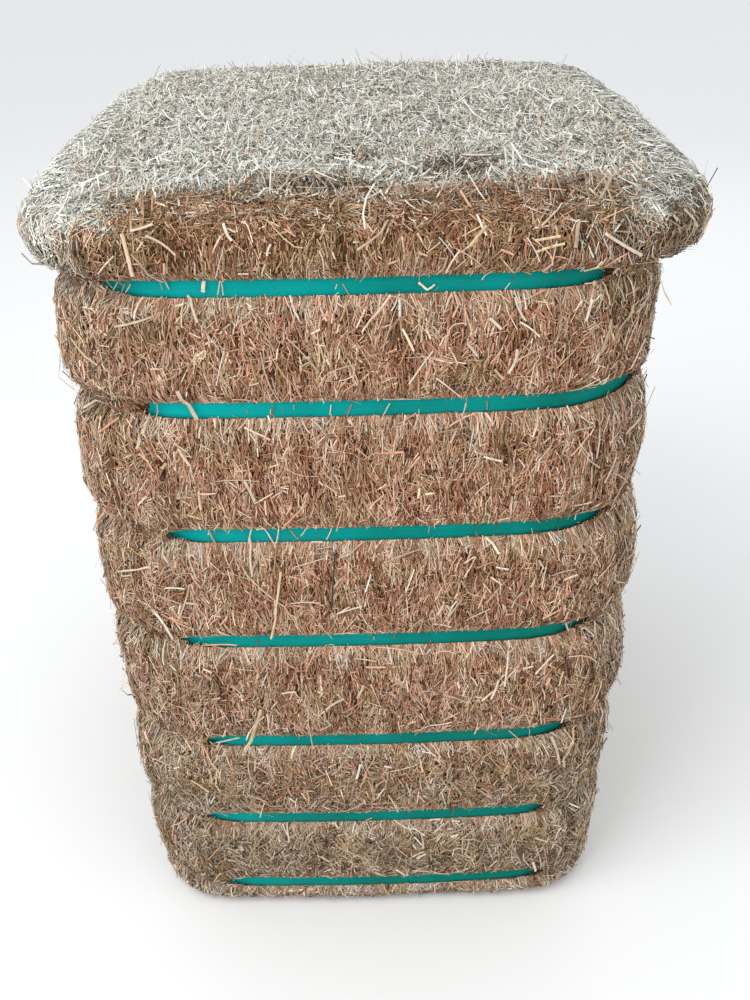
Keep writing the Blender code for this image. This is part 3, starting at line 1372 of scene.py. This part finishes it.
        # Pale tufts at the left corner, partly painted light.
        pale = np.maximum(pale, 0.6 * ease(0.86, 0.95, q) * ease(-0.25, -0.31, x))
        pale = np.maximum(pale, 0.8 * ease(0.905, 0.94, q) * ease(-0.275, -0.305, x))
        right_end = self.RIGHT_END(x) * self.TOP_RIGHT(q)
        warm = warm - 0.45 * right_end
        pale = np.maximum(pale, 0.08 * right_end)
        tuft = self.tufts(s)
        for close in self.under_strap(q, 0.007):
            warm = warm * (1.0 - close * (0.5 + 0.5 * tuft))
            pale = np.maximum(pale, 0.18 * tuft * close)
        golden = 0.22 + 0.20 * Waves(self.seed + 6, 0.10, 0.07)(s, q)
        golden = golden + 0.42 * ease(0.912, 0.945, q) * ease(0.24, 0.14, x)
        pick = draw.random(len(s))
        kind = regroup(draw, np.full(len(s), StrawKind.GREY.value), warm, StrawKind.WARM)
        kind = regroup(draw, kind, golden, StrawKind.GOLD)
        kind = np.where(pick < pale, StrawKind.BLEACHED.value, kind)
        return regroup(draw, kind, 0.012, StrawKind.ODD)

    def clear_straps(self, straws: Straws) -> Straws:
        """Moves straws off the open straps, but for tips that lie over their edges, and up off the floor.

        Args:
            straws: the straws as drawn.

        Returns:
            The moved straws.
        """
        draw = np.random.default_rng(self.seed + 9)
        count = len(straws)
        upright, level = np.abs(np.sin(straws.angle)), np.abs(np.cos(straws.angle))
        reach = upright * straws.length / 2 + level * straws.length * 0.03
        v = straws.v.copy()
        points, _ = self.skin.side(straws.u, v)
        slack = np.minimum(draw.exponential(0.0003, count), 0.003) - 0.0004
        slack = np.where(draw.random(count) < 0.004, draw.uniform(0.004, 0.02, count), slack)
        ragged = draw.uniform(-0.05, 0.05, count)
        for index, line in enumerate(self.straps):
            cover = np.clip(line.cover(points[:, 0], points[:, 1]) + ragged, 0, 1)
            room_above = self.straps[index - 1].low - line.high if index else 1.0
            for sign, edge, share in ((1.0, line.high, 0.25), (-1.0, line.low, 0.80)):
                allow = np.where(cover > 0.90, 1.0, slack + cover ** 2 * line.width * share)
                cut = np.minimum(reach, room_above / 2 - 0.002) - (v - edge) * sign
                move = np.where(((v - line.height) * sign >= 0) & (cut > allow), cut - allow, 0.0)
                v = v + np.minimum(move, 0.06) * sign
        return self.fit_foot(straws, v, reach)

    def fit_foot(self, straws: Straws, v: Array, reach: Array) -> Straws:
        """Fits the straws between the lowest strap and the floor.

        Args:
            straws: the straws.
            v: their heights, clear of the straps.
            reach: how far each reaches up and down.

        Returns:
            The straws at their final heights.
        """
        edge = self.straps[-1].low
        foot = v < edge
        room, height = edge - 0.002, 2 * reach
        squeeze = np.where(foot & (height > room), room / np.maximum(height, TINY), 1.0)
        low = (reach * 0.96 + 0.001) * squeeze
        straws.length = straws.length * squeeze
        straws.v = np.where(foot, np.clip(v, low, np.maximum(edge - reach * squeeze, low)), v)
        return straws

    def lay(self, straws: Straws, stations: int) -> tuple[Array, Array]:
        """Lays the straws on the skin, with tips out and over the straps they reach.

        Args:
            straws: the straws.
            stations: points along each.

        Returns:
            Their middle lines and the outward directions there.
        """
        s, q, rise = straws.centre_lines(stations)
        points, normals = self.skin.side(s, np.maximum(q, 0.001))
        out = rise + cover_fill(self.straps, points)
        for line in self.straps:
            inside = np.clip((line.width / 2 + 0.0015 - np.abs(q - line.height)) / 0.002, 0, 1)
            out = np.where(inside > 0, np.maximum(out, 0.0028 * inside + out * (1 - inside)), out)
        points = points + normals * out[:, :, None]
        points[:, :, 2] = np.maximum(points[:, :, 2], 0.0022)
        return points, normals

    def build(
        self, name: str, low_s: float, high_s: float, low_q: float, high_q: float,
    ) -> bpy.types.Object:
        """Makes the straws of a rectangle of the side as one piece.

        Args:
            name: the piece's name.
            low_s: where it begins round the bale.
            high_s: where it ends.
            low_q: its lowest height.
            high_q: its greatest height, or distance past the edge.

        Returns:
            The piece.
        """
        straws = self.clear_straps(self.draw(low_s, high_s, low_q, high_q))
        sets = ((straws.keep(~straws.short()), 3), (straws.keep(straws.short()), 2))
        parts = [(part, *self.lay(part, stations)) for part, stations in sets if len(part)]
        return self.mesher.build(name, parts, False)


@dataclass
class TopMantle:
    """The straws that lie flat on the top, pale with bleaching and partly with painted light from above.

    Each patch is a dark damp spot, a soft oval: its middle's x and y, its reach both ways and its darkness.
    """

    skin: Skin
    mesher: StrawMesher
    seed: int = 71
    long_count: int = 30000
    short_count: int = 74000
    long_gap: float = 0.016
    short_gap: float = 0.010
    width: float = 0.00108
    length: float = 0.016
    upright: float = 2.3
    patches: tuple[tuple[float, ...], ...] = (
        (-0.012, -0.225, 0.026, 0.040, 1.3), (-0.030, -0.340, 0.045, 0.026, 1.3),
        (0.095, -0.292, 0.038, 0.036, 1.5), (-0.110, -0.335, 0.050, 0.020, 0.6),
        (0.220, -0.200, 0.060, 0.050, 0.4), (-0.279, -0.067, 0.040, 0.050, 0.4),
        (0.060, 0.150, 0.090, 0.050, 0.25),
    )

    def build(self) -> None:
        """Makes the top's straws as two pieces, the long ones and the chaff."""
        for name, number, short, stations in (
            ("top_straw_long", self.long_count, False, 3), ("top_straw_short", self.short_count, True, 2),
        ):
            straws = self.draw(number, short)
            self.mesher.build(name, [(straws, *lay_on_top(self.skin, straws, stations))], False)

    def draw(self, number: int, short: bool) -> Straws:
        """Draws straws all over the top.

        Args:
            number: how many, before those past the edge are left out.
            short: whether they are short chaff.

        Returns:
            The straws.
        """
        draw = np.random.default_rng(self.seed + short)
        reach_x, reach_y = -self.skin.top_low[0], -self.skin.top_low[1]
        x, y = draw.uniform(-reach_x, reach_x, number), draw.uniform(-reach_y, reach_y, number)
        inside = self.skin.outline_gap(x, y) > (self.short_gap if short else self.long_gap)
        x, y = x[inside], y[inside]
        count = len(x)
        turn = draw.uniform(0, 2 * math.pi, count) + 0.4 * Waves(self.seed + 1, 0.08, 0.08)(x, y)
        depth = draw.uniform(-0.0050, 0.0016, count)
        patch = Waves(self.seed + 2, 0.07, 0.05)(x, y)
        front = self.front_share(x, y, patch)
        crest = ease(-0.362, -0.388, y + 0.008 * patch) * front
        stained = self.stained(x, y)
        # A light tone, partly painted light from above. Deeper straws are darker: painted shade between
        # them.
        tone = 0.67 + 0.05 * patch + 26 * (depth + 0.002) + draw.normal(0, 0.20, count)
        tone = tone - 0.17 * front - 0.15 * crest - 0.33 * stained + 0.03 * ease(0.08, 0.20, np.abs(x))
        tone = tone + 0.12 * ease(-0.22, -0.32, x) * ease(-0.26, -0.34, y)
        kind = self.kind(draw, x, y, front, crest, stained)
        seen = draw.random(count) > 0.6 * crest
        length = sizes(draw, count, self.length, 0.42, 0.010, 0.06)
        return Straws(
            u=x, v=y, angle=np.arctan2(np.sin(turn) * self.upright, np.cos(turn)),
            length=draw.uniform(0.004, 0.012, count) if short else length,
            width=sizes(draw, count, self.width, 0.36, 0.0007, 0.0036),
            bend=draw.normal(0, 0.13, count), depth=depth,
            lift=np.abs(draw.normal(0, 0.26, count)) + 0.25 * front * draw.random(count),
            twist=draw.normal(0, 0.45, count), tone=np.clip(tone, 0, 1), kind=kind,
        ).keep(seen)

    def kind(self, draw: Draw, x: Array, y: Array, front: Array, crest: Array, stained: Array) -> Array:
        """Each straw's family of colour.

        Args:
            draw: the random numbers.
            x: places across the bale.
            y: places along its depth.
            front: how far each belongs to the front's brown straws.
            crest: how far each lies on the front edge.
            stained: how damp each place is.

        Returns:
            The families' numbers.
        """
        warm = 0.18 * front + 0.40 * crest * ease(0.30, 0.20, -x) * ease(0.22, 0.12, x)
        yellow = 0.025 + 0.10 * ease(0.15, 0.33, x) * ease(0.1, -0.2, y) + 0.12 * crest
        damp = np.clip(stained - 0.3, 0, 1)
        kind = np.full(len(x), StrawKind.GREY.value)
        # Bleached straws over most of the top, partly painted light from above.
        for chance, family in (
            (0.88 - 0.76 * front, StrawKind.BLEACHED), (warm, StrawKind.WARM), (yellow, StrawKind.GOLD),
            (0.50 * damp, StrawKind.GREY), (0.32 * damp, StrawKind.ODD),
        ):
            kind = regroup(draw, kind, chance, family)
        return kind

    def front_share(self, x: Array, y: Array, patch: Array) -> Array:
        """How far the straws are the front's brown ones, which reach over the edge, further on the right.

        Args:
            x: places across the bale.
            y: places along its depth.
            patch: a random field that makes the line ragged.

        Returns:
            The shares, 0 to 1.
        """
        line = -0.357 + 0.020 * ease(0.04, 0.16, x) - 0.032 * ease(0.22, 0.30, x)
        line = line - 0.03 * ease(-0.16, -0.28, x)
        return ease(line + 0.016, line - 0.018, y + 0.014 * patch)

    def stained(self, x: Array, y: Array) -> Array:
        """How damp and dark each place is.

        Args:
            x: places across the bale.
            y: places along its depth.

        Returns:
            The darkness at each place.
        """
        return sum(
            strength * np.exp(-((x - middle_x) / wide) ** 2 - ((y - middle_y) / deep) ** 2)
            for middle_x, middle_y, wide, deep, strength in self.patches
        )


def lay_on_top(skin: Skin, straws: Straws, stations: int) -> tuple[Array, Array]:
    """Lays straws on the top.

    Args:
        skin: the bale's surface.
        straws: the straws.
        stations: points along each.

    Returns:
        Their middle lines and the outward directions there.
    """
    u, v, rise = straws.centre_lines(stations)
    points, normals = skin.top(u, v)
    return points + normals * rise[:, :, None], normals


@dataclass
class StrapFringe:
    """Short stiff tips that stand along both edges of every strap: brown above it, and pale below it, which
    is pale tufts and partly painted light.
    """

    skin: Skin
    straps: list[StrapLine]
    mesher: StrawMesher
    seed: int = 101
    front_spacing: float = 0.0019
    rear_spacing: float = 0.0050
    front_from: float = -0.36
    length: float = 0.012
    width: float = 0.0011

    def places(self, draw: Draw) -> Array:
        """Draws places round the bale, closer together on the front.

        Args:
            draw: the random numbers.

        Returns:
            The places.
        """
        s = np.arange(0, self.skin.girth, self.front_spacing)
        s = s + draw.uniform(-0.5, 0.5, len(s)) * self.front_spacing
        points, _ = self.skin.side(s, np.full(len(s), 0.5))
        chance = np.where(points[:, 1] < self.front_from, 1.0, self.front_spacing / self.rear_spacing)
        return s[draw.random(len(s)) < chance]

    def looks(self, draw: Draw, clump: Array, below: bool) -> tuple[Array, Array]:
        """The colours of one edge's tips: the lower edge has pale tufts, lighter still with painted light,
        and the upper one is brown.

        Args:
            draw: the random numbers.
            clump: a random field along the edge.
            below: whether the edge is the lower one.

        Returns:
            The families' numbers and the tones.
        """
        count = len(clump)
        if below:
            tuft = ease(0.0, 1.4, clump)
            kind = regroup(draw, np.full(count, StrawKind.WARM.value), 0.40 + 0.50 * tuft, StrawKind.GREY)
            kind = regroup(draw, kind, 0.14 * tuft, StrawKind.BLEACHED)
            # A high tone: pale tufts, with painted light below the strap.
            return kind, np.clip(0.68 + 0.20 * tuft + draw.normal(0, 0.17, count), 0, 1)
        kind = regroup(draw, np.full(count, StrawKind.GREY.value), 0.65, StrawKind.WARM)
        return kind, np.clip(0.52 + draw.normal(0, 0.18, count), 0, 1)

    def edge(self, draw: Draw, line: StrapLine, below: bool) -> Straws:
        """The tips along one edge of a strap.

        Args:
            draw: the random numbers.
            line: the strap.
            below: whether the edge is the lower one.

        Returns:
            The straws.
        """
        s = self.places(draw)
        points, _ = self.skin.side(s, np.full(len(s), line.height))
        s = s[line.cover(points[:, 0], points[:, 1]) < draw.uniform(0.3, 1.0, len(s))]
        count = len(s)
        clump = Waves(self.seed + int(line.height * 1000), 0.05, 1.0)(s, s * 0)
        length = sizes(draw, count, self.length, 0.4, 0.005, 0.030)
        angle = math.pi / 2 + draw.normal(0, 0.42, count) + 0.25 * clump
        half = np.abs(np.sin(angle)) * length / 2
        overlap = np.minimum(draw.exponential(0.0010, count), 0.005) - 0.0014
        kind, tone = self.looks(draw, clump, below)
        v = line.low + overlap - half if below else line.high - overlap + half
        return Straws(
            u=s, v=v, angle=angle, length=length,
            width=sizes(draw, count, self.width, 0.32, 0.0007, 0.0024), bend=draw.normal(0, 0.3, count),
            depth=draw.uniform(-0.001, 0.0022, count), lift=np.abs(draw.normal(0.02, 0.08, count)),
            twist=draw.normal(0, 0.5, count), tone=tone, kind=kind,
        )

    def build(self, layer: SideMantle) -> bpy.types.Object:
        """Makes every strap's tips as one piece.

        Args:
            layer: the mantle that lays them.

        Returns:
            The piece.
        """
        draw = np.random.default_rng(self.seed)
        rows = [self.edge(draw, line, below) for line in self.straps for below in (True, False)]
        straws = Straws(**{
            name: np.concatenate([getattr(row, name) for row in rows]) for name in vars(rows[0])
        })
        return self.mesher.build("strap_fringe", [(straws, *layer.lay(straws, 3))], False)


@dataclass
class LooseStraws:
    """Bigger pale straws that lie on the mantle, and tips that stick out of it."""

    skin: Skin
    mesher: StrawMesher
    seed: int = 131
    side_count: int = 4600
    top_count: int = 1300
    side_length: float = 0.019
    side_width: float = 0.0015
    top_length: float = 0.018
    top_width: float = 0.0016
    top_gap: float = 0.012
    bleached_from: float = -0.33

    def on_sides(self, layer: SideMantle) -> bpy.types.Object:
        """Makes the loose straws of the upright sides.

        Args:
            layer: the mantle that lays them.

        Returns:
            The piece.
        """
        draw = np.random.default_rng(self.seed)
        count = self.side_count
        s, q = draw.uniform(0, self.skin.girth, count), draw.uniform(0.012, self.skin.edge_q + 0.02, count)
        swirl = Waves(self.seed + 1, 0.06, 0.08)(s, q)
        angle = math.pi / 2 + 0.35 * swirl + draw.normal(0, 0.55, count)
        angle = np.where(draw.random(count) < 0.25, draw.uniform(0, math.pi, count), angle)
        angle = angle + math.pi * (draw.random(count) < 0.5)
        kind = np.full(count, StrawKind.WARM.value)
        for chance, family in ((0.66, StrawKind.GREY), (0.22, StrawKind.GOLD), (0.02, StrawKind.BLEACHED)):
            kind = regroup(draw, kind, chance, family)
        straws = layer.clear_straps(Straws(
            u=s, v=q, angle=angle,
            length=sizes(draw, count, self.side_length, 0.5, 0.006, 0.06),
            width=sizes(draw, count, self.side_width, 0.34, 0.0009, 0.0038),
            bend=draw.normal(0, 0.18, count), depth=draw.uniform(0.0012, 0.0036, count),
            lift=tip_lifts(draw, count, 0.07, 0.06, 0.45), twist=draw.normal(0, 0.5, count),
            tone=np.clip(0.76 + draw.normal(0, 0.14, count), 0, 1), kind=kind,
        ))
        return self.mesher.build("loose_side_straw", [(straws, *layer.lay(straws, 4))], True)

    def on_top(self) -> bpy.types.Object:
        """Makes the loose straws of the top.

        Returns:
            The piece.
        """
        draw = np.random.default_rng(self.seed + 50)
        x, y = draw.uniform(-0.37, 0.37, self.top_count), draw.uniform(-0.43, 0.43, self.top_count)
        inside = self.skin.outline_gap(x, y) > self.top_gap
        x, y = x[inside], y[inside]
        count = len(x)
        straws = Straws(
            u=x, v=y, angle=draw.uniform(0, 2 * math.pi, count),
            length=sizes(draw, count, self.top_length, 0.5, 0.006, 0.06),
            width=sizes(draw, count, self.top_width, 0.30, 0.0010, 0.0036),
            bend=draw.normal(0, 0.18, count), depth=draw.uniform(0.0012, 0.0034, count),
            lift=tip_lifts(draw, count, 0.07, 0.06, 0.4), twist=draw.normal(0, 0.45, count),
            tone=np.clip(0.85 + draw.normal(0, 0.14, count), 0, 1),
            kind=regroup(
                draw, np.full(count, StrawKind.GREY.value),
                0.93 * (y > self.bleached_from), StrawKind.BLEACHED,
            ),
        )
        return self.mesher.build("loose_top_straw", [(straws, *lay_on_top(self.skin, straws, 4))], True)


@dataclass(frozen=True)
class SingleStraw:
    """One straw of the front that is seen by itself: its middle, its lean and its form."""

    x: float
    z: float
    angle: float
    length: float
    width: float = 0.0012
    tone: float = 0.85
    kind: StrawKind = StrawKind.GREY
    lift: float = 0.05


FORM_NAMES = ("angle", "length", "width", "tone", "lift")
FRONT_STRAWS = (
    SingleStraw(-0.158, 0.929, -1.72, 0.016, 0.0042, 0.95),
    SingleStraw(-0.254, 0.925, -0.67, 0.014),
    SingleStraw(-0.242, 0.929, -2.28, 0.027),
    SingleStraw(-0.233, 0.923, -2.25, 0.012),
    SingleStraw(-0.143, 0.926, -1.80, 0.017),
    SingleStraw(-0.140, 0.926, -1.48, 0.017),
    SingleStraw(0.056, 0.922, -0.74, 0.011, 0.0022, 1.0),
    SingleStraw(0.064, 0.920, 0.6, 0.010, 0.0018, 1.0),
    SingleStraw(0.118, 0.933, -2.09, 0.016),
    SingleStraw(0.234, 0.917, 0.28, 0.024),
    SingleStraw(-0.187, 0.800, -1.20, 0.038, 0.0046, 0.70, StrawKind.GREY, 0.12),
    SingleStraw(-0.040, 0.790, -1.71, 0.012),
    SingleStraw(0.019, 0.790, -2.06, 0.013),
    SingleStraw(0.100, 0.786, -1.79, 0.014),
    SingleStraw(-0.179, 0.628, -1.25, 0.027, 0.0022, 0.45, StrawKind.GREY),
    SingleStraw(-0.137, 0.636, -1.84, 0.025, 0.0018),
    SingleStraw(-0.106, 0.637, -1.76, 0.038, 0.0016),
    SingleStraw(-0.117, 0.637, -1.16, 0.035, 0.0018),
    SingleStraw(-0.075, 0.642, -2.06, 0.020),
    SingleStraw(-0.187, 0.478, 0.07, 0.042, 0.0018, 0.7, StrawKind.WARM),
    SingleStraw(-0.191, 0.474, -0.36, 0.032, 0.0016, 0.7, StrawKind.WARM),
    SingleStraw(0.229, 0.486, -1.21, 0.032, 0.0022),
    SingleStraw(-0.157, 0.346, -1.98, 0.072, 0.0040, 0.75, StrawKind.GOLD, 0.15),
    SingleStraw(-0.193, 0.321, 0.37, 0.035, 0.0018),
    SingleStraw(0.173, 0.319, -0.82, 0.018),
    SingleStraw(-0.111, 0.560, -1.76, 0.060, 0.0026, 0.80, StrawKind.GOLD, 0.08),
    SingleStraw(-0.118, 0.522, -1.76, 0.055, 0.0026, 0.80, StrawKind.GOLD, 0.08),
    SingleStraw(-0.139, 0.610, -1.50, 0.046, 0.0024, 0.85, StrawKind.GREY, 0.1),
    SingleStraw(-0.046, 0.574, -1.66, 0.076, 0.0020, 0.10, StrawKind.ODD),
    SingleStraw(-0.052, 0.545, -1.30, 0.030, 0.0018, 0.10, StrawKind.ODD),
    SingleStraw(-0.229, 0.569, 0.0, 0.023, 0.0026, 0.9),
    SingleStraw(-0.029, 0.534, 0.39, 0.032, 0.0022, 0.9),
    SingleStraw(-0.080, 0.544, 0.02, 0.036, 0.0016, 0.8),
    SingleStraw(-0.205, 0.443, -0.51, 0.012, 0.0030, 0.9),
    SingleStraw(-0.222, 0.787, 1.46, 0.056, 0.0010, 0.7),
    SingleStraw(-0.171, 0.905, -1.14, 0.028, 0.0026, 0.85),
    SingleStraw(0.159, 0.435, -1.64, 0.051, 0.0024, 0.9, StrawKind.GREY),
    SingleStraw(0.146, 0.403, 1.34, 0.033, 0.0026, 0.9),
    SingleStraw(0.205, 0.440, 0.95, 0.036, 0.0024, 0.9, StrawKind.GREY),
    SingleStraw(0.185, 0.436, 0.32, 0.013, 0.0026, 0.9),
    SingleStraw(0.248, 0.960, -0.54, 0.040, 0.0030, 0.85),
    SingleStraw(0.174, 0.968, 0.10, 0.024, 0.0026, 0.80, StrawKind.GOLD),
    SingleStraw(0.177, 0.961, 0.29, 0.027, 0.0026, 0.80, StrawKind.GOLD),
    SingleStraw(0.108, 0.972, 0.81, 0.022, 0.0028, 0.75, StrawKind.GOLD),
    SingleStraw(-0.210, 0.985, 0.28, 0.022, 0.0030, 0.8),
    SingleStraw(-0.192, 0.972, -0.54, 0.032, 0.0026, 0.75),
    SingleStraw(-0.262, 0.304, -0.22, 0.040, 0.0022, 0.85),
    SingleStraw(-0.266, 0.320, 0.86, 0.030, 0.0020, 0.85),
    SingleStraw(0.128, 0.883, -0.76, 0.017, 0.0034, 0.9),
    SingleStraw(0.152, 0.895, -1.11, 0.024, 0.0022, 0.85),
    SingleStraw(0.221, 0.892, -1.94, 0.021, 0.0026, 0.9),
)


@dataclass
class SeenStraws:
    """The single straws of the front, joined as one piece."""

    skin: Skin
    mesher: StrawMesher
    seed: int = 7
    above: float = 0.0042
    front_from: float = -0.30

    def place(self, x: float, z: float) -> float:
        """How far round the bale a place on the front is.

        Args:
            x: the place's x.
            z: its height.

        Returns:
            Its s.
        """
        ring = self.skin.grid[int(np.clip(z / self.skin.step, 0, len(self.skin.grid) - 1))]
        front = np.where(ring[:, 1] < self.front_from)[0]
        order = front[np.argsort(ring[front, 0])]
        return float(np.interp(x, ring[order, 0], order * self.skin.girth / self.skin.columns))

    def build(self, given: tuple[SingleStraw, ...]) -> bpy.types.Object:
        """Makes them, a little proud of the mantle.

        Args:
            given: the straws.

        Returns:
            The piece.
        """
        draw = np.random.default_rng(self.seed)
        count = len(given)
        form = {name: np.array([getattr(item, name) for item in given]) for name in FORM_NAMES}
        straws = Straws(
            u=np.array([self.place(item.x, item.z) for item in given]),
            v=np.array([item.z for item in given]),
            bend=draw.normal(0, 0.12, count), depth=np.full(count, self.above),
            twist=draw.normal(0, 0.2, count),
            kind=np.array([item.kind.value for item in given]), **form,
        )
        s, q, rise = straws.centre_lines(5)
        points, normals = self.skin.side(s, q)
        points = points + normals * rise[:, :, None]
        return self.mesher.build("seen_straw", [(straws, points, normals)], True)


@dataclass
class Studio:
    """The pale floor, the soft lights and the camera that looks down at the bale's front and top."""

    focal_pixels: float = 1037.0
    picture_height: float = 1000.0
    sensor: float = 36.0
    place: Colour = (0.004, -1.3904, 1.272)
    pitch: float = 31.34
    roll: float = 1.5
    key_power: float = 62.0
    fill_power: float = 12.0
    world_light: float = 0.95
    world_colour: tuple[float, ...] = (0.94, 0.96, 1.0, 1.0)
    cool: Colour = (0.97, 0.99, 1.0)
    warm: Colour = (1.0, 0.97, 0.93)
    lit_place: Colour = (0.0, 0.0, 0.6)
    floor_reach: float = 14.0

    def floor(self) -> None:
        """Makes the floor."""
        shape = bmesh.new()
        bmesh.ops.create_grid(shape, x_segments=1, y_segments=1, size=self.floor_reach)
        mesh = bmesh_to_mesh(shape, "floor")
        mesh.materials.append(FloorFinish().build())
        floor = bpy.data.objects.new("floor", mesh)
        bpy.context.scene.collection.objects.link(floor)

    def lamp(self, name: str, place: Colour, size: float, power: float, colour: Colour) -> None:
        """Adds a square soft light that faces the bale.

        Args:
            name: the light's name.
            place: where it hangs.
            size: the length of its sides.
            power: its power in watts.
            colour: its colour.
        """
        light = bpy.data.lights.new(name, "AREA")
        light.size = size
        light.energy = power
        light.color = colour
        lamp = bpy.data.objects.new(name, light)
        lamp.location = place
        lamp.rotation_euler = (Vector(self.lit_place) - Vector(place)).to_track_quat("-Z", "Y").to_euler()
        bpy.context.scene.collection.objects.link(lamp)

    def lights(self) -> None:
        """Adds the lamps and the pale surroundings."""
        self.lamp("key", (-1.7, -1.6, 3.0), 2.2, self.key_power, self.cool)
        self.lamp("fill", (2.4, -2.4, 1.6), 2.4, self.fill_power, self.warm)
        self.lamp("rear", (0.6, 3.0, 2.6), 2.4, self.fill_power, self.cool)
        world = bpy.data.worlds.new("pale_surroundings")
        world.use_nodes = True
        background = world.node_tree.nodes["Background"]
        background.inputs[0].default_value = self.world_colour
        background.inputs[1].default_value = self.world_light
        bpy.context.scene.world = world
        bpy.context.scene.view_settings.view_transform = "Standard"

    def camera(self) -> None:
        """Adds the camera."""
        data = bpy.data.cameras.new("camera")
        data.sensor_width = self.sensor
        data.lens = self.focal_pixels / self.picture_height * self.sensor
        camera = bpy.data.objects.new("camera", data)
        down = Euler((math.radians(90 - self.pitch), 0.0, 0.0)).to_matrix()
        turn = down @ Euler((0.0, 0.0, math.radians(-self.roll))).to_matrix()
        camera.matrix_world = Matrix.Translation(self.place) @ turn.to_4x4()
        bpy.context.scene.collection.objects.link(camera)
        bpy.context.scene.camera = camera

    def build(self) -> None:
        """Sets up the studio."""
        self.floor()
        self.lights()
        self.camera()


STRAP_LINES = (
    StrapLine(0.923, -0.268, 0.250),
    StrapLine(0.790, -0.244, 0.306, left_taper=0.024),
    StrapLine(0.633, -0.233, 0.272, left_taper=0.034),
    StrapLine(0.481, -0.238, 0.262),
    StrapLine(0.318, -0.220, 0.248, taper=0.026, left_taper=0.024),
    StrapLine(0.176, -0.236, 0.224, taper=0.024, left_taper=0.022),
    StrapLine(0.045, -0.224, 0.228, taper=0.030, left_taper=0.036),
)
REAR_SIDES = (
    (Side.RIGHT, "right_straw", {"seed": 21, "density": 34000.0, "width": 0.0016, "length": 0.026}),
    (Side.BACK, "back_straw", {"seed": 31, "density": 27500.0, "width": 0.0018, "length": 0.028}),
    (Side.LEFT, "left_straw", {"seed": 41, "density": 34000.0, "width": 0.0016, "length": 0.026}),
)
REAR_LOOK = {"chaff": 0.2, "edge_thinning": 0.4}
FRONT_LOOK = {"density": 173000.0, "width": 0.00091, "length": 0.0180, "chaff": 0.38}
RIM_LOOK = {"density": 62000.0, "width": 0.0011, "length": 0.016, "chaff": 0.4}


def cover_in_straw(skin: Skin, straps: list[StrapLine], mesher: StrawMesher) -> None:
    """Lays all the straws: the sides, the top, the rim between them, the straps' edges and the loose ones.

    Args:
        skin: the bale's surface.
        straps: the straps, from the top one down.
        mesher: what makes the meshes.
    """
    over_edge = skin.edge_q + 0.075
    for side, name, look in REAR_SIDES:
        mantle = SideMantle(skin, straps, mesher, **look, **REAR_LOOK)
        mantle.build(name, *mantle.column_span(side), 0.0, over_edge)
    lower = SideMantle(skin, straps, mesher, seed=11, **FRONT_LOOK)
    upper = SideMantle(skin, straps, mesher, seed=61, **FRONT_LOOK)
    front = lower.column_span(Side.FRONT)
    lower.build("front_straw_lower", *front, 0.0, FRONT_SPLIT)
    upper.build("front_straw_upper", *front, FRONT_SPLIT, over_edge)
    TopMantle(skin, mesher).build()
    rim = SideMantle(skin, straps, mesher, seed=61, **RIM_LOOK)
    rim.build("rim_straw", 0.0, skin.girth, skin.edge_q + 0.002, skin.edge_q + 0.072)
    StrapFringe(skin, straps, mesher).build(upper)
    loose = LooseStraws(skin, mesher)
    loose.on_sides(upper)
    loose.on_top()
    SeenStraws(skin, mesher).build(FRONT_STRAWS)


def main() -> None:
    """Builds the bale and its studio in order."""
    logging.basicConfig(level=logging.INFO, format="%(name)s %(message)s")
    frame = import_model()
    straps = list(STRAP_LINES)
    skin = Skin(frame["nodes"]["straw_block"])
    LOG.info("skin: girth %.3f, height %.3f", skin.girth, skin.height)
    PressedCore(skin, straps).build(CoreFinish().build())
    strap_material = StrapFinish().build()
    for number, line in enumerate(straps, start=1):
        StrapPiece(line, f"strap_{number}").build(skin, strap_material)
    finish = StrawFinish()
    cover_in_straw(skin, straps, StrawMesher(finish, finish.build()))
    Studio().build()


if __name__ == "__main__":
    main()
